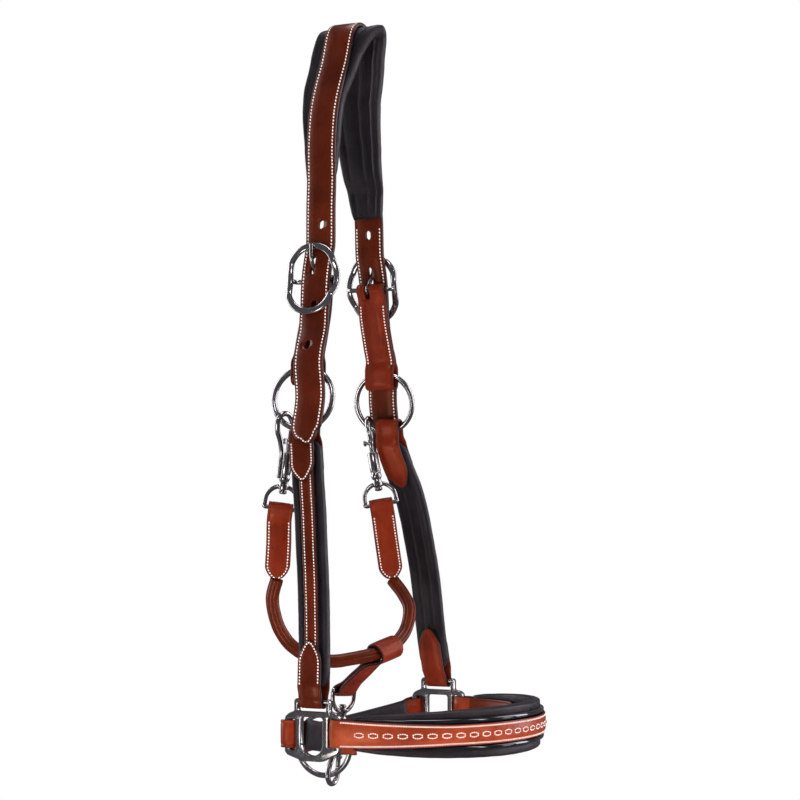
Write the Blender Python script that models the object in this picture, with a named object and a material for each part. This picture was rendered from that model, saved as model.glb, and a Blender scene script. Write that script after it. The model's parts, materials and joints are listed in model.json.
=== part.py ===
"""A bitless hackamore of padded leather, hanging by its crown as it does on a hook.

The horse's nose would point along +X, its left side is +Y, and up is +Z. The origin is the underside of the
crown pad at the crest, where the horse's poll, or the hook, carries it. Lengths are in millimetres and are
turned into metres when a mesh is made.
"""

import math

import bmesh
import bpy
from mathutils import Matrix, Vector

MM = 0.001
GAP = 0.3  # between pieces that touch

# Leather
STRAP_WIDTH = 22.0
CREST_WIDTH = 26.6
CROWN_THICK = 3.0
PLY = 1.8  # one ply of a folded strap
FOLD_GAP = 0.4  # between the two plies of a fold
TAPER = 12.0  # length of a pointed or rounded end
HOLE_WIDTH = 4.4
HOLE_HEIGHT = 6.4
HOLE_SPACING = 27.8
HOLE_START = -10.0  # from the buckle's bar
TONGUE_HOLE = (-9.2, 12.6)  # the place and height of the hole that the tongue passes through

# Pads
CROWN_PAD_THICK = 7.5
CHEEK_PAD_THICK = 5.4
CHEEK_PAD_WIDTH = 22.0
CHEEK_STRIP_WIDTH = 10.0
CHEEK_STRIP_THICK = 2.0
RING_TAB_WIDTH = 17.0
SQUARE_TAB_WIDTH = 17.0

# Metal
RING_RADIUS = 20.6  # to the middle of the wire
WIRE_RADIUS = 1.9
BUCKLE_WIDTH = 40.5
BUCKLE_HEIGHT = 49.0
BUCKLE_BAND = 4.6
BUCKLE_THICK = 2.8
BUCKLE_BOW = 8.2  # how far the frame's top and bottom stand out from its bar
BUCKLE_SET = 4.6  # how far its sides do
BAR_RADIUS = 1.6
TONGUE_RADIUS = 1.35
SQUARE_THICK = 4.5
SQUARE_WIDTH = 40.0
LOOP_BAR = 4.0  # width of the bars that the nose and chin straps fold round
LOOP_SLOT = 4.0

# Snap hook, along its own axis from the middle of its eye's bar
EYE_WIDTH = 25.0
EYE_WIRE = 1.5
EYE_TOP = 14.5
SNAP_BARREL = (17.4, 36.8)
SNAP_BARREL_RADIUS = 3.7
HOOK_CENTRE = 56.5
HOOK_RADIUS = 6.5
HOOK_WIRE = 1.8
BOLT_RADIUS = 1.6
BOLT_TRAVEL = 4.5
BOLT_TIP = 52.1

# The route of each side, as (x, distance from the middle plane, z)
CREST = [
    (-0.3, 0, 7.65),
    (-0.3, 6.5, 5.6),
    (-0.4, 10.6, 0.4),
    (-0.7, 13.2, -8),
    (-1.3, 16.5, -20),
    (-3.6, 21.5, -38),
]
ARM = [(-5.2, 24.6, -55), (-5.4, 26.8, -78), (-3.9, 29.2, -100), (-3.0, 31.6, -120)]
# By their share of the way from the crest to the crown pad's end, how far its edges lie from the strap's
# middle: the rear one, the right arm's front one and the left arm's
PAD_EDGES = [
    (0, 19.7, 27.9, 27.9),
    (0.2, 22, 16.4, 21.8),
    (0.4, 21, 11.6, 17.6),
    (0.65, 15.5, 11.6, 17.4),
    (0.87, 12.8, 8.4, 15.2),
    (1, 9.5, 7, 12.6),
]
SIDES = {
    "right": {
        "sign": -1,
        "bar": (-4.5, 36.0, -169.0),
        "strap_x": (-1.5, -2.8),  # the crown strap's and the upper cheek's, at the buckle
        "tail_x": (0.8, 4.4, 6.8),
        "tail_height": (5.3, 5.6, 8.4),  # over the ring's top and middle, and the tab below it
        "ring": (-5.2, 52.5, -248.0),
        "cheek_x": (-3.4, -1.2),  # where the upper and the lower cheek meet the ring
        "cheek": [(0.8, 58.9, -281), (4.2, 63.4, -294)],
        "snap_angle": 234.0,
        "snap_eye": (-23.5, 50.0, -318.0),
        "tab_end": (-28.0, 48.0, -368.0),
    },
    "left": {
        "sign": 1,
        "bar": (-4.5, 36.0, -169.0),
        "strap_x": (-3.6, -2.0),
        "tail_x": (-5.0, -7.4, -7.6),
        "tail_height": (6.0, 6.9, 9.4),
        "ring": (-1.8, 53.8, -247.5),
        "cheek_x": (-2.0, 0.6),
        "cheek": [(1.8, 60.1, -281), (5.0, 64.2, -294)],
        "snap_angle": 236.0,
        "snap_eye": (2.0, 43.5, -321.0),
        "tab_end": (9.5, 45.0, -371.0),
    },
}
CHEEK = [(8.6, 69.3, -307), (11.8, 72.6, -323), (14.8, 76.0, -345), (18.1, 79.3, -372), (21.1, 83, -413)]
RING_LEAD = 8.0  # the lower cheek's route starts this far above the ring's lowest wire
RING_TURN = math.radians(9)  # the cheek rings and what holds them are turned a little,
RING_TILT = math.radians(10)  # and lean in at the top
SQUARE_CENTRE = (23.5, 88.0, -465.5)
SQUARE_TOP_BAR_Z = -443.0
NOSE_CENTRE_X = 50.0
NOSE_REACH = (80.0, 86.0)  # half axes of the noseband's plan, forward and sideways
NOSE_Z = -462.5
NOSE_END_WIDTH = 18.0
CHIN_RING = (-19.5, 0.0, -482.0)
CHIN_DIRECTION = Vector((1, 0, 0))
CHIN_Z = (-464.5, -479.0)  # the chin straps' middles at the squares and at the ring
EYE_DIRECTION = Vector((0.883, 0.469, 0))
SNAP_LATERAL = Vector((0.26, 0.966, 0))
CHIN_EYE = Vector((-10.2, 11.5, -444.0))
ROLL_RADIUS = 4.5
ROLL = [
    (-32.0, -47, -381),
    (-29.5, -45, -397),
    (-23.5, -42, -409),
    (-15.5, -38, -416.5),
    (-6, -34, -421),
    (4, -27, -422.5),
    (13, -16, -421),
    (20, -4, -419),
    (23.5, 8, -417),
    (26, 22, -411.5),
    (27, 33, -402.5),
    (25.5, 40, -390),
    (18, 43.5, -379.5),
]
CONNECTOR_TOP = Vector((23.5, 8.0, -417.0))
CONNECTOR_ACROSS = Vector((0.22, 0.94, 0.27)).normalized()
CHIN_BAR_DIRECTION = Vector((0.2, 0.98, 0)).normalized()

COLOURS = {
    "leather": ((0.10, 0.022, 0.008, 1), 0.38, 0.0),
    "pad": ((0.012, 0.010, 0.013, 1), 0.6, 0.0),
    "patent": ((0.004, 0.004, 0.005, 1), 0.1, 0.0),
    "steel": ((0.62, 0.61, 0.62, 1), 0.16, 1.0),
}


# ---------------------------------------------------------------- basics


def material(kind):
    found = bpy.data.materials.get(kind)
    if found:
        return found
    colour, roughness, metallic = COLOURS[kind]
    made = bpy.data.materials.new(kind)
    made.use_nodes = True
    shader = made.node_tree.nodes["Principled BSDF"]
    shader.inputs["Base Color"].default_value = colour
    shader.inputs["Roughness"].default_value = roughness
    shader.inputs["Metallic"].default_value = metallic
    return made


def add_mesh(name, points, faces, kind):
    """A closed mesh in metres from points in millimetres, with its faces turned out."""
    mesh = bpy.data.meshes.new(name)
    mesh.from_pydata([Vector(p) * MM for p in points], [], faces)
    shell = bmesh.new()
    shell.from_mesh(mesh)
    bmesh.ops.recalc_face_normals(shell, faces=shell.faces)
    shell.to_mesh(mesh)
    shell.free()
    mesh.materials.append(material(kind))
    made = bpy.data.objects.new(name, mesh)
    bpy.context.scene.collection.objects.link(made)
    return made


def smooth_edges(made, angle=40):
    made.data.shade_smooth()
    made.data.set_sharp_from_angle(angle=math.radians(angle))


def skin(name, loops, kind, cyclic=False):
    """Joins equal loops of points into one body, with its ends closed unless it runs round."""
    size = len(loops[0])
    points = [point for loop in loops for point in loop]
    faces = []
    for row in range(len(loops) if cyclic else len(loops) - 1):
        here, there = row * size, (row + 1) % len(loops) * size
        for i in range(size):
            j = (i + 1) % size
            faces.append((here + i, here + j, there + j, there + i))
    if not cyclic:
        faces.append(tuple(range(size)))
        faces.append(tuple(range(len(points) - size, len(points))))
    return add_mesh(name, points, faces, kind)


def set_origin(made, point):
    """Moves an object's origin to a point, leaving its shape where it is."""
    made.data.transform(Matrix.Translation(-Vector(point) * MM))
    made.location = Vector(point) * MM


def helper(made):
    made.hide_render = True
    made.display_type = "WIRE"
    return made


def boolean(made, other, operation):
    modifier = made.modifiers.new(operation.lower(), "BOOLEAN")
    modifier.operation = operation
    modifier.object = helper(other)


# ---------------------------------------------------------------- routes


def curve_through(points, spacing):
    """Points about every `spacing` on a smooth curve through the given ones."""
    points = [Vector(p) for p in points]
    ends = [2 * points[0] - points[1]] + points + [2 * points[-1] - points[-2]]
    out = []
    for a, b, c, d in zip(ends, ends[1:], ends[2:], ends[3:]):
        steps = max(1, round((c - b).length / spacing))
        for step in range(steps):
            t = step / steps
            out.append(
                0.5
                * (
                    2 * b
                    + (c - a) * t
                    + (2 * a - 5 * b + 4 * c - d) * t**2
                    + (3 * b - a - 3 * c + d) * t**3
                )
            )
    return out + [points[-1]]


def lengths_of(points):
    total = [0.0]
    for a, b in zip(points, points[1:]):
        total.append(total[-1] + (b - a).length)
    return total


def place_on(points, along):
    """The point and direction at a distance along a route, which runs on straight past both ends."""
    total = lengths_of(points)
    index = 0
    while index < len(points) - 2 and total[index + 1] < along:
        index += 1
    direction = (points[index + 1] - points[index]).normalized()
    return points[index] + direction * (along - total[index]), direction


def directions(points, cyclic=False):
    count = len(points)
    out = []
    for i in range(count):
        before = points[i - 1] if cyclic or i else points[0]
        after = points[(i + 1) % count] if cyclic or i < count - 1 else points[-1]
        out.append((after - before).normalized())
    return out


def value(setting, along, total):
    return setting(along, total) if callable(setting) else setting


def blend_between(first, second):
    """A setting that goes evenly from one value or direction to another."""
    return lambda along, total: first + (second - first) * (along / total)


def pointed(width, tip=5.0, taper=TAPER):
    """A strap's width, brought in to a blunt point at both ends."""

    def at_distance(along, total):
        near = min(along, total - along)
        if near >= taper:
            return width
        return tip + (width - tip) * math.sin(near / taper * math.pi / 2)

    return at_distance


def strap(name, points, across, width, bottom, top, kind="leather", cyclic=False, skewed=False):
    """A flat strap along a route. Bottom and top are its faces' heights over the route.

    Its width is one number, or the places of its two edges. A skewed strap keeps its sections parallel to
    `across`.
    """
    total = lengths_of(points)
    loops = []
    for point, direction, along in zip(points, directions(points, cyclic), total):
        side = value(across, along, total[-1]).normalized()
        if not skewed:
            side = (side - direction * side.dot(direction)).normalized()
        up = side.cross(direction).normalized()
        edges = value(width, along, total[-1])
        first, last = edges if isinstance(edges, tuple) else (-edges / 2, edges / 2)
        low = value(bottom, along, total[-1])
        high = value(top, along, total[-1])
        corners = ((first, low), (last, low), (last, high), (first, high))
        loops.append([point + side * a + up * b for a, b in corners])
    made = skin(name, loops, kind, cyclic)
    smooth_edges(made, 35)
    return made


def tube(name, points, radius, sides=8, cyclic=False, across=None):
    """A round wire along a route. Its sides are set out from `across`, where that is given."""
    points = [Vector(p) for p in points]
    loops = []
    side = None
    for point, direction in zip(points, directions(points, cyclic)):
        if across is not None:
            side = across
        elif side is None:
            side = direction.orthogonal()
        side = (side - direction * side.dot(direction)).normalized()
        up = side.cross(direction)
        turns = [2 * math.pi * (k + 0.5) / sides for k in range(sides)]
        loops.append([point + (side * math.cos(t) + up * math.sin(t)) * radius for t in turns])
    made = skin(name, loops, "steel", cyclic)
    smooth_edges(made)
    return made


def flat_band(name, points, out, width, thick, sides=8):
    """A closed oval band whose wide way lies square to `out`."""
    loops = []
    for point, direction in zip(points, directions(points, cyclic=True)):
        wide = direction.cross(out).normalized()
        thin = wide.cross(direction).normalized()
        turns = [2 * math.pi * (k + 0.5) / sides for k in range(sides)]
        loops.append([point + wide * math.cos(t) * width / 2 + thin * math.sin(t) * thick / 2 for t in turns])
    made = skin(name, loops, "steel", cyclic=True)
    smooth_edges(made)
    return made


def turned(name, profile, start, axis, sides=16):
    """A closed turned shape: profile holds (distance along the axis, radius)."""
    side = axis.orthogonal().normalized()
    up = axis.cross(side)
    loops = []
    for along, radius in profile:
        loop = []
        for k in range(sides):
            turn = 2 * math.pi * k / sides
            loop.append(start + axis * along + (side * math.cos(turn) + up * math.sin(turn)) * radius)
        loops.append(loop)
    made = skin(name, loops, "steel")
    smooth_edges(made)
    return made


def prism(name, outline, kind, origin, across, up, low, high):
    """An outline of (across, up) points, extruded from low to high along its normal."""
    out = across.cross(up)
    loops = [[origin + across * a + up * b + out * depth for a, b in outline] for depth in (low, high)]
    return skin(name, loops, kind)


def arc(centre, radius, start, end, steps):
    """Points on an arc, with angles in degrees."""
    out = []
    for i in range(steps + 1):
        turn = math.radians(start + (end - start) * i / steps)
        out.append((centre[0] + radius * math.cos(turn), centre[1] + radius * math.sin(turn)))
    return out


def fold_over(route, outline):
    """Turns an outline of (distance along a route, height over it) into points beside that route."""
    out = []
    for along, height, up in outline:
        point, direction = place_on(route, along)
        side = up - direction * up.dot(direction)
        out.append(point + side.normalized() * height)
    return out


# ---------------------------------------------------------------- crown, buckles and upper cheeks


def at(side, place):
    x, reach, z = place
    return Vector((x, SIDES[side]["sign"] * reach, z))


def outward(side):
    return Vector((0, SIDES[side]["sign"], 0))


def ring_axes(side):
    """Forward and up in the cheek ring's plane."""
    forward = Vector((math.cos(RING_TURN), math.sin(RING_TURN), 0))
    lean = forward.cross(Vector((0, 0, 1))) * SIDES[side]["sign"]
    return forward, Vector((0, 0, math.cos(RING_TILT))) + lean * math.sin(RING_TILT)


def turned_across(side):
    """The width direction of what holds a cheek ring."""
    return ring_axes(side)[0] * SIDES[side]["sign"]


def ring_top(side):
    return at(side, SIDES[side]["ring"]) + ring_axes(side)[1] * RING_RADIUS


def ring_bottom(side):
    return at(side, SIDES[side]["ring"]) - ring_axes(side)[1] * RING_RADIUS


def buckle_axes(side):
    """Down along the strap, and out of the buckle's face."""
    along = ring_top(side) - at(side, ARM[-1])
    along.x = 0
    along.normalize()
    out = outward(side)
    return along, (out - along * out.dot(along)).normalized()


def crown_route(side):
    """The inner face of the crown strap, from just beside the crest to the tip of its tail."""
    data = SIDES[side]
    along, out = buckle_axes(side)
    bar = at(side, data["bar"])
    bar.x = data["strap_x"][0]
    face = BAR_RADIUS + 2 * GAP + PLY + GAP
    edge = BUCKLE_HEIGHT / 2 - BUCKLE_BAND / 2
    under_frame = BUCKLE_BOW - BUCKLE_THICK / 2 - CROWN_THICK - 3 * GAP
    points = [at(side, p) for p in CREST + ARM]
    points.append(bar - along * (edge + 3) + out * (under_frame - 0.5))
    points.append(bar - along * (edge - 4) + out * under_frame)
    points.append(bar - along * 5 + out * face)
    points.append(bar + along * 5 + out * face)
    points.append(bar + along * (edge - 4) + out * under_frame)
    points.append(bar + along * (edge + 1) + out * under_frame)

    upper, out_level = upper_route(side), outward(side)
    tails, heights = data["tail_x"], data["tail_height"]
    length = lengths_of(upper)[-1]
    for back, height in ((26, 3.4), (18, 4.4), (10, heights[0]), (0, heights[0])):
        place, _ = place_on(upper, length - back)
        place.x = data["strap_x"][0] + (tails[0] - data["strap_x"][0]) * (1 - back / length)
        points.append(place + out_level * height)
    x, reach, z = data["ring"]
    points.append(at(side, (tails[1], reach + heights[1], z)))
    lower = cheek_route(side)
    for past, height, x in ((8, (heights[1] + heights[2]) / 2, tails[1]), (15, heights[2], tails[2])):
        place, _ = place_on(lower, past)
        place.x = x
        points.append(place + out_level * height)
    place, _ = place_on(lower, 19)
    place.x = tails[2]
    return points + [place + out_level * heights[2]]


def crown():
    """The long strap over the poll, with a pointed and punched tail at each end, and its pad."""
    right, left = crown_route("right"), crown_route("left")
    route = curve_through(right[::-1] + left[1:], 6.0)
    total = lengths_of(route)
    middle = min(range(len(route)), key=lambda i: route[i].y**2 + 1e6 * (route[i].z < -20))
    crest = total[middle]
    flat = 1.3
    route[middle : middle + 1] = [route[middle] + Vector((0, y, -0.05)) for y in (-flat, flat)]
    tapered = pointed(STRAP_WIDTH, taper=14)

    def width(along, total_length):
        from_crest = abs(along - crest)
        full = CREST_WIDTH - (CREST_WIDTH - STRAP_WIDTH) * min(1, from_crest / 90)
        return min(full, tapered(along, total_length))

    across = Vector((1, 0, 0))
    strap_node = strap("crown_strap", route, across, width, GAP / 2, GAP / 2 + CROWN_THICK)
    for side in SIDES:
        punch_holes(strap_node, side)

    ends = [i for i, p in enumerate(route) if p.z > -121]
    pad_route = route[ends[0] : ends[-1] + 1]
    reach = lengths_of(pad_route)[-1] / 2

    def pad_edges(along, _):
        near = min(1, abs(along - reach) / reach)
        arm = 2 if along < reach else 3
        index = max(i for i, row in enumerate(PAD_EDGES[:-1]) if row[0] <= near)
        here, there = PAD_EDGES[index : index + 2]
        share = (near - here[0]) / (there[0] - here[0])
        back, front = (here[k] + (there[k] - here[k]) * share for k in (1, arm))
        return (-back, front)

    def pad_bottom(along, _):
        return -GAP / 2 - CROWN_PAD_THICK + 3.5 * max(0, abs(along - reach) / reach - 0.3)

    pad = strap("crown_pad", pad_route, across, pad_edges, pad_bottom, -GAP / 2, "pad")
    for vertex in pad.data.vertices:
        if abs(vertex.co.y) < 2 * flat * MM and vertex.co.z < 3 * MM:
            vertex.co.z = 0


def punch_holes(strap_node, side):
    """The adjusting holes, one of which holds the buckle's tongue."""
    bar = at(side, SIDES[side]["bar"])
    bar.x = SIDES[side]["strap_x"][0]
    along, out = buckle_axes(side)
    across = along.cross(out)
    for step in range(-1, 3):
        centre = bar + along * (HOLE_START + HOLE_SPACING * step) + out * 4
        long_half = HOLE_HEIGHT / 2
        if step == 0:
            centre = at(side, SIDES[side]["bar"]) + along * TONGUE_HOLE[0] + out * 4
            long_half = TONGUE_HOLE[1] / 2
        outline = arc((0, long_half - HOLE_WIDTH / 2), HOLE_WIDTH / 2, 0, 180, 4)
        outline += arc((0, HOLE_WIDTH / 2 - long_half), HOLE_WIDTH / 2, 180, 360, 4)
        cutter = prism(f"{side}_hole_{step + 1}", outline, "leather", centre, across, -along, -9, 9)
        boolean(strap_node, cutter, "DIFFERENCE")


def buckle(side):
    """An oval centre-bar buckle. It is bowed, so that the strap passes under its ends and over its bar."""
    bar = at(side, SIDES[side]["bar"])
    along, out = buckle_axes(side)
    across = along.cross(out)
    half_width = (BUCKLE_WIDTH - BUCKLE_BAND) / 2
    half_height = (BUCKLE_HEIGHT - BUCKLE_BAND) / 2
    points = []
    for step in range(36):
        turn = 2 * math.pi * step / 36
        a = half_width * math.copysign(abs(math.cos(turn)) ** 0.86, math.cos(turn))
        b = half_height * math.copysign(abs(math.sin(turn)) ** 0.94, math.sin(turn))
        rise = min(1, abs(b) / half_height / 0.5)
        points.append(bar + across * a + along * b + out * (BUCKLE_SET + (BUCKLE_BOW - BUCKLE_SET) * rise**2))
    frame = flat_band(f"{side}_buckle_frame", points, out, BUCKLE_BAND, BUCKLE_THICK)
    staple = [(-half_width, BUCKLE_SET), (1.6 - half_width, 1.2), (3.6 - half_width, 0)]
    staple += [(-a, b) for a, b in staple[::-1]]
    rod = [bar + across * a + out * b for a, b in staple]
    boolean(frame, tube(f"{side}_bar_rod", rod, BAR_RADIUS, sides=10, across=along), "UNION")
    buckle_tongue(side, bar, along, out, half_height)


def buckle_tongue(side, bar, along, out, half_height):
    """The tongue turns on the bar by its collar, and its tip rests on the top of the frame."""
    loop_radius = BAR_RADIUS + GAP + 1.1
    turns = [2 * math.pi * step / 14 for step in range(14)]
    loop = [bar + out * loop_radius * math.cos(t) - along * loop_radius * math.sin(t) for t in turns]
    lift = BUCKLE_BOW + BUCKLE_THICK / 2 + GAP + TONGUE_RADIUS + 0.1
    tip = bar - along * (half_height + 1.0) + out * lift
    rise = bar - along * 12.5 + out * 8.9
    start = bar - along * (loop_radius + 0.3) + out * 1.2
    tongue = tube(f"{side}_buckle_tongue", curve_through([start, rise, tip], 3.0), TONGUE_RADIUS)
    collar = tube(f"{side}_tongue_loop", loop, 1.0, cyclic=True, across=along.cross(out))
    boolean(tongue, collar, "UNION")
    set_origin(tongue, bar)


def upper_route(side):
    """The middle of the upper cheek, from the buckle's bar to the top of the ring's wire."""
    bar, ring = at(side, SIDES[side]["bar"]), ring_top(side)
    bar.x = SIDES[side]["strap_x"][1]
    ring.x = SIDES[side]["cheek_x"][0]
    along, _ = buckle_axes(side)
    below = bar + along * BUCKLE_HEIGHT / 2
    below.x += (ring.x - bar.x) * 0.4
    return curve_through([bar, below, ring + ring_axes(side)[1] * 9, ring], 5)


def upper_cheek(side):
    """A doubled strap that runs round the buckle's bar above and the cheek ring below."""
    out = outward(side)
    along, _ = buckle_axes(side)
    bar = at(side, SIDES[side]["bar"])
    route = upper_route(side)
    length = lengths_of(route)[-1]
    top = BAR_RADIUS + 2 * GAP + PLY / 2
    bottom = WIRE_RADIUS + 0.5 + PLY / 2
    close = (PLY + FOLD_GAP) / 2
    drop = length + 7.2
    quarter = [math.radians(a) for a in (0, 30, 60, 90)]
    outline = [(-top * math.cos(t), top * math.sin(t)) for t in quarter]
    outline += [(5.5, close + 0.25), (8, close), (length * 0.35, close), (length * 0.7, close)]
    outline += [(length - 8.5, close), (length - 3.5, bottom), (length, bottom)]
    outline += [(drop + bottom * math.sin(t), bottom * math.cos(t)) for t in quarter]
    both = [(a, h, out) for a, h in outline] + [(a, -h, out) for a, h in outline[-2:0:-1]]
    points = fold_over(route, both)
    straight, twisted = Vector((1, 0, 0)), turned_across(side) * SIDES[side]["sign"]

    def across(along_loop, total):
        return straight + (twisted - straight) * min(1, 2 * min(along_loop, total - along_loop) / total)

    width = STRAP_WIDTH - 0.5
    made = strap(f"{side}_upper_cheek_strap", points, across, width, -PLY / 2, PLY / 2, cyclic=True)
    outline = arc((0, 4.0), 2.1, 0, 180, 4) + arc((0, -4.4), 2.1, 180, 360, 4)
    slot = prism(f"{side}_tongue_slot", outline, "leather", bar, along.cross(out).normalized(), -along, -9, 9)
    boolean(made, slot, "DIFFERENCE")


def cheek_ring(side):
    make_ring(f"{side}_cheek_ring", at(side, SIDES[side]["ring"]), ring_axes(side))


def make_ring(name, centre, axes):
    """A ring of wire in the plane of the two axes."""
    points = [wire_point(centre, axes, 360 * step / 32) for step in range(32)]
    made = tube(name, points, WIRE_RADIUS, cyclic=True, across=axes[0].cross(axes[1]))
    set_origin(made, centre)


def wire_point(centre, axes, angle):
    """The middle of a ring's wire at an angle from the first of its two axes."""
    turn = math.radians(angle)
    return centre + (axes[0] * math.cos(turn) + axes[1] * math.sin(turn)) * RING_RADIUS


# ---------------------------------------------------------------- lower cheeks


def cheek_route(side):
    """The middle of the lower cheek, from inside the ring to the square's top bar."""
    x, reach, _ = SQUARE_CENTRE
    low = ring_bottom(side)
    low.x = SIDES[side]["cheek_x"][1]
    up = ring_axes(side)[1]
    points = [low + up * RING_LEAD, low, low - up * 5]
    points += [at(side, p) for p in SIDES[side]["cheek"] + CHEEK]
    points.append(at(side, (x, reach, SQUARE_TOP_BAR_Z)))
    return curve_through(points, 8.0)


def lower_cheek(side):
    """A padded strap with a raised strip, held above and below by a folded leather tab."""
    sign = SIDES[side]["sign"]
    route = cheek_route(side)
    total = lengths_of(route)[-1]
    start, end = RING_LEAD + WIRE_RADIUS + 7.5, total - 9.5
    count = 22
    middle = [place_on(route, start + (end - start) * i / count)[0] for i in range(count + 1)]
    upper, lower = turned_across(side), Vector((sign, 0, 0))
    across = blend_between(upper, lower)
    inner = -(CHEEK_PAD_THICK + CHEEK_STRIP_THICK + GAP) / 2
    face = inner + CHEEK_PAD_THICK
    strap(f"{side}_cheek_pad", middle, across, rounded_ends(CHEEK_PAD_WIDTH), inner, face, "pad")
    strip = middle[1:-1]
    strap(f"{side}_cheek_strip", strip, across, CHEEK_STRIP_WIDTH, face + GAP, face + GAP + CHEEK_STRIP_THICK)
    folded_tab(f"{side}_ring_tab", route, RING_LEAD, upper, RING_TAB_WIDTH, (2.5, 9.2), 39.6, sign)
    folded_tab(f"{side}_square_tab", route[::-1], 0, -lower, SQUARE_TAB_WIDTH, (2.9, 0), 38.0, sign)


def rounded_ends(width):
    def at_distance(along, total):
        near = min(along, total - along)
        return width - 8 * max(0, 1 - near / 8) ** 2

    return at_distance


def folded_tab(name, route, bar_at, across, width, inside, length, sign):
    """Leather folded round a bar or wire that crosses a route, with a pointed leg on each face of the cheek.

    `inside` is the fold's inner radius, and how far past the bar its end lies; 0 is a fold close round it.
    """
    out = Vector((0, sign, 0))
    clear, rise = inside
    turn_at = bar_at - max(0, rise - clear - PLY)
    radius = clear + PLY / 2
    face = (CHEEK_PAD_THICK + CHEEK_STRIP_THICK + GAP) / 2 + 3 * GAP + PLY / 2
    outline = [(bar_at + length * share, face) for share in (1, 0.85, 0.7, 0.55, 0.4, 0.3, 0.22)]
    outline += [(bar_at + 4.2, radius + 0.5), (bar_at + 1.0, radius)]
    quarter = [math.radians(a) for a in (0, 30, 60, 90)]
    outline += [(turn_at - radius * math.sin(t), radius * math.cos(t)) for t in quarter]
    both = [(a, h, out) for a, h in outline] + [(a, -h, out) for a, h in outline[-2::-1]]
    points = fold_over(route, both)
    strap(name, points, across, pointed(width, 4.5), -PLY / 2, PLY / 2)


def side_square(side):
    """A cast fitting: a loop above for the cheek, one each way for the nose and chin straps, and a window."""
    origin = at(side, SQUARE_CENTRE)
    across, up = Vector((1, 0, 0)), Vector((0, 0, 1))
    half = SQUARE_WIDTH / 2
    outline = [(-12, 24), (12, 24), (13, 22.8), (13, 16.2), (half - 2.5, 15.6), (half, 13.6), (half, -8.2)]
    outline += [(half - 2, -10.6), (7, -15.6), (-7, -15.6), (2 - half, -12.2)]
    outline += [(-half, -10), (-half, 12), (2.5 - half, 14.4), (-13, 16.2), (-13, 22.8)]
    made = prism(f"{side}_square", outline, "steel", origin, across, up, -SQUARE_THICK / 2, SQUARE_THICK / 2)
    window = arc((0, -4.0), 8.0, 180, 360, 10) + [(8, 11), (7, 12.4), (-7, 12.4), (-8, 11)]
    top = [(-10.4, 16.0), (10.4, 16.0), (10.4, 21.0), (-10.4, 21.0)]
    inner = half - LOOP_BAR - LOOP_SLOT
    front = [(inner, -6.8), (half - LOOP_BAR, -6.8), (half - LOOP_BAR, 12.6), (inner, 12.6)]
    back = [(-half + LOOP_BAR, -8.8), (-inner, -8.8), (-inner, 10.6), (-half + LOOP_BAR, 10.6)]
    cuts = (("window", window), ("top_slot", top), ("front_slot", front), ("back_slot", back))
    for label, shape in cuts:
        cutter = prism(f"{side}_{label}", shape, "steel", origin, across, up, -6, 6)
        boolean(made, cutter, "DIFFERENCE")


# ---------------------------------------------------------------- noseband and chin


def nose_route():
    """The plan of the noseband, between the outside of the pad and the inside of its facings."""
    forward, sideways = NOSE_REACH
    points = [Vector((52, -87.2, NOSE_Z))]
    for step in range(1, 16):
        turn = -math.pi / 2 + math.pi * step / 16
        points.append(Vector((NOSE_CENTRE_X + forward * math.cos(turn), sideways * math.sin(turn), NOSE_Z)))
    points.append(Vector((52, 87.2, NOSE_Z)))
    return curve_through(points, 14.0)


def noseband():
    """The noseband's pad, patent facing and strap, which turns round each square and back on the lining."""
    down = Vector((0, 0, -1))
    route = nose_route()

    def toward_front(ends, front):
        return lambda along, total: ends + (front - ends) * math.sin(math.pi * along / total) ** 0.6

    strap("noseband_pad", route, down, toward_front(20.0, 32.5), -3.4, 2.2, "pad")
    strap("noseband_facing", route[1:-1], down, toward_front(18, 20.5), 2.5, 3.9, "patent")

    bar_x = SQUARE_CENTRE[0] + SQUARE_WIDTH / 2 - LOOP_BAR / 2
    wrap = 3.3 + PLY / 2

    def end_points(sign):
        """From the turned-back tip on the lining, round the bar, to the outside."""
        start = route if sign < 0 else route[::-1]
        inner = []
        for along in (48, 34, 20, 8):
            point, direction = place_on(start, along)
            inward = direction.cross(down) * -sign
            inner.append(point + inward * (3.4 + GAP + PLY / 2))
        centre = Vector((bar_x, sign * SQUARE_CENTRE[1], NOSE_Z))
        turns = [math.radians(a) for a in range(0, 181, 30)]
        return inner + [centre + Vector((-wrap * math.sin(t), -sign * wrap * math.cos(t), 0)) for t in turns]

    outside = []
    for point, direction in zip(route, directions(route)):
        outside.append(point + down.cross(direction) * (4.4 + PLY / 2))
    points = end_points(-1) + outside[1:-1] + end_points(1)[::-1]

    def width(along, total):
        near = min(along, total - along)
        wide = NOSE_END_WIDTH - 4.5 * max(0.0, min(1.0, (near - 75) / 70))
        return min(wide, pointed(NOSE_END_WIDTH, 8, 8)(along, total)) if near < 20 else wide

    strap("noseband_strap", points, down, width, -PLY / 2, PLY / 2)


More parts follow.
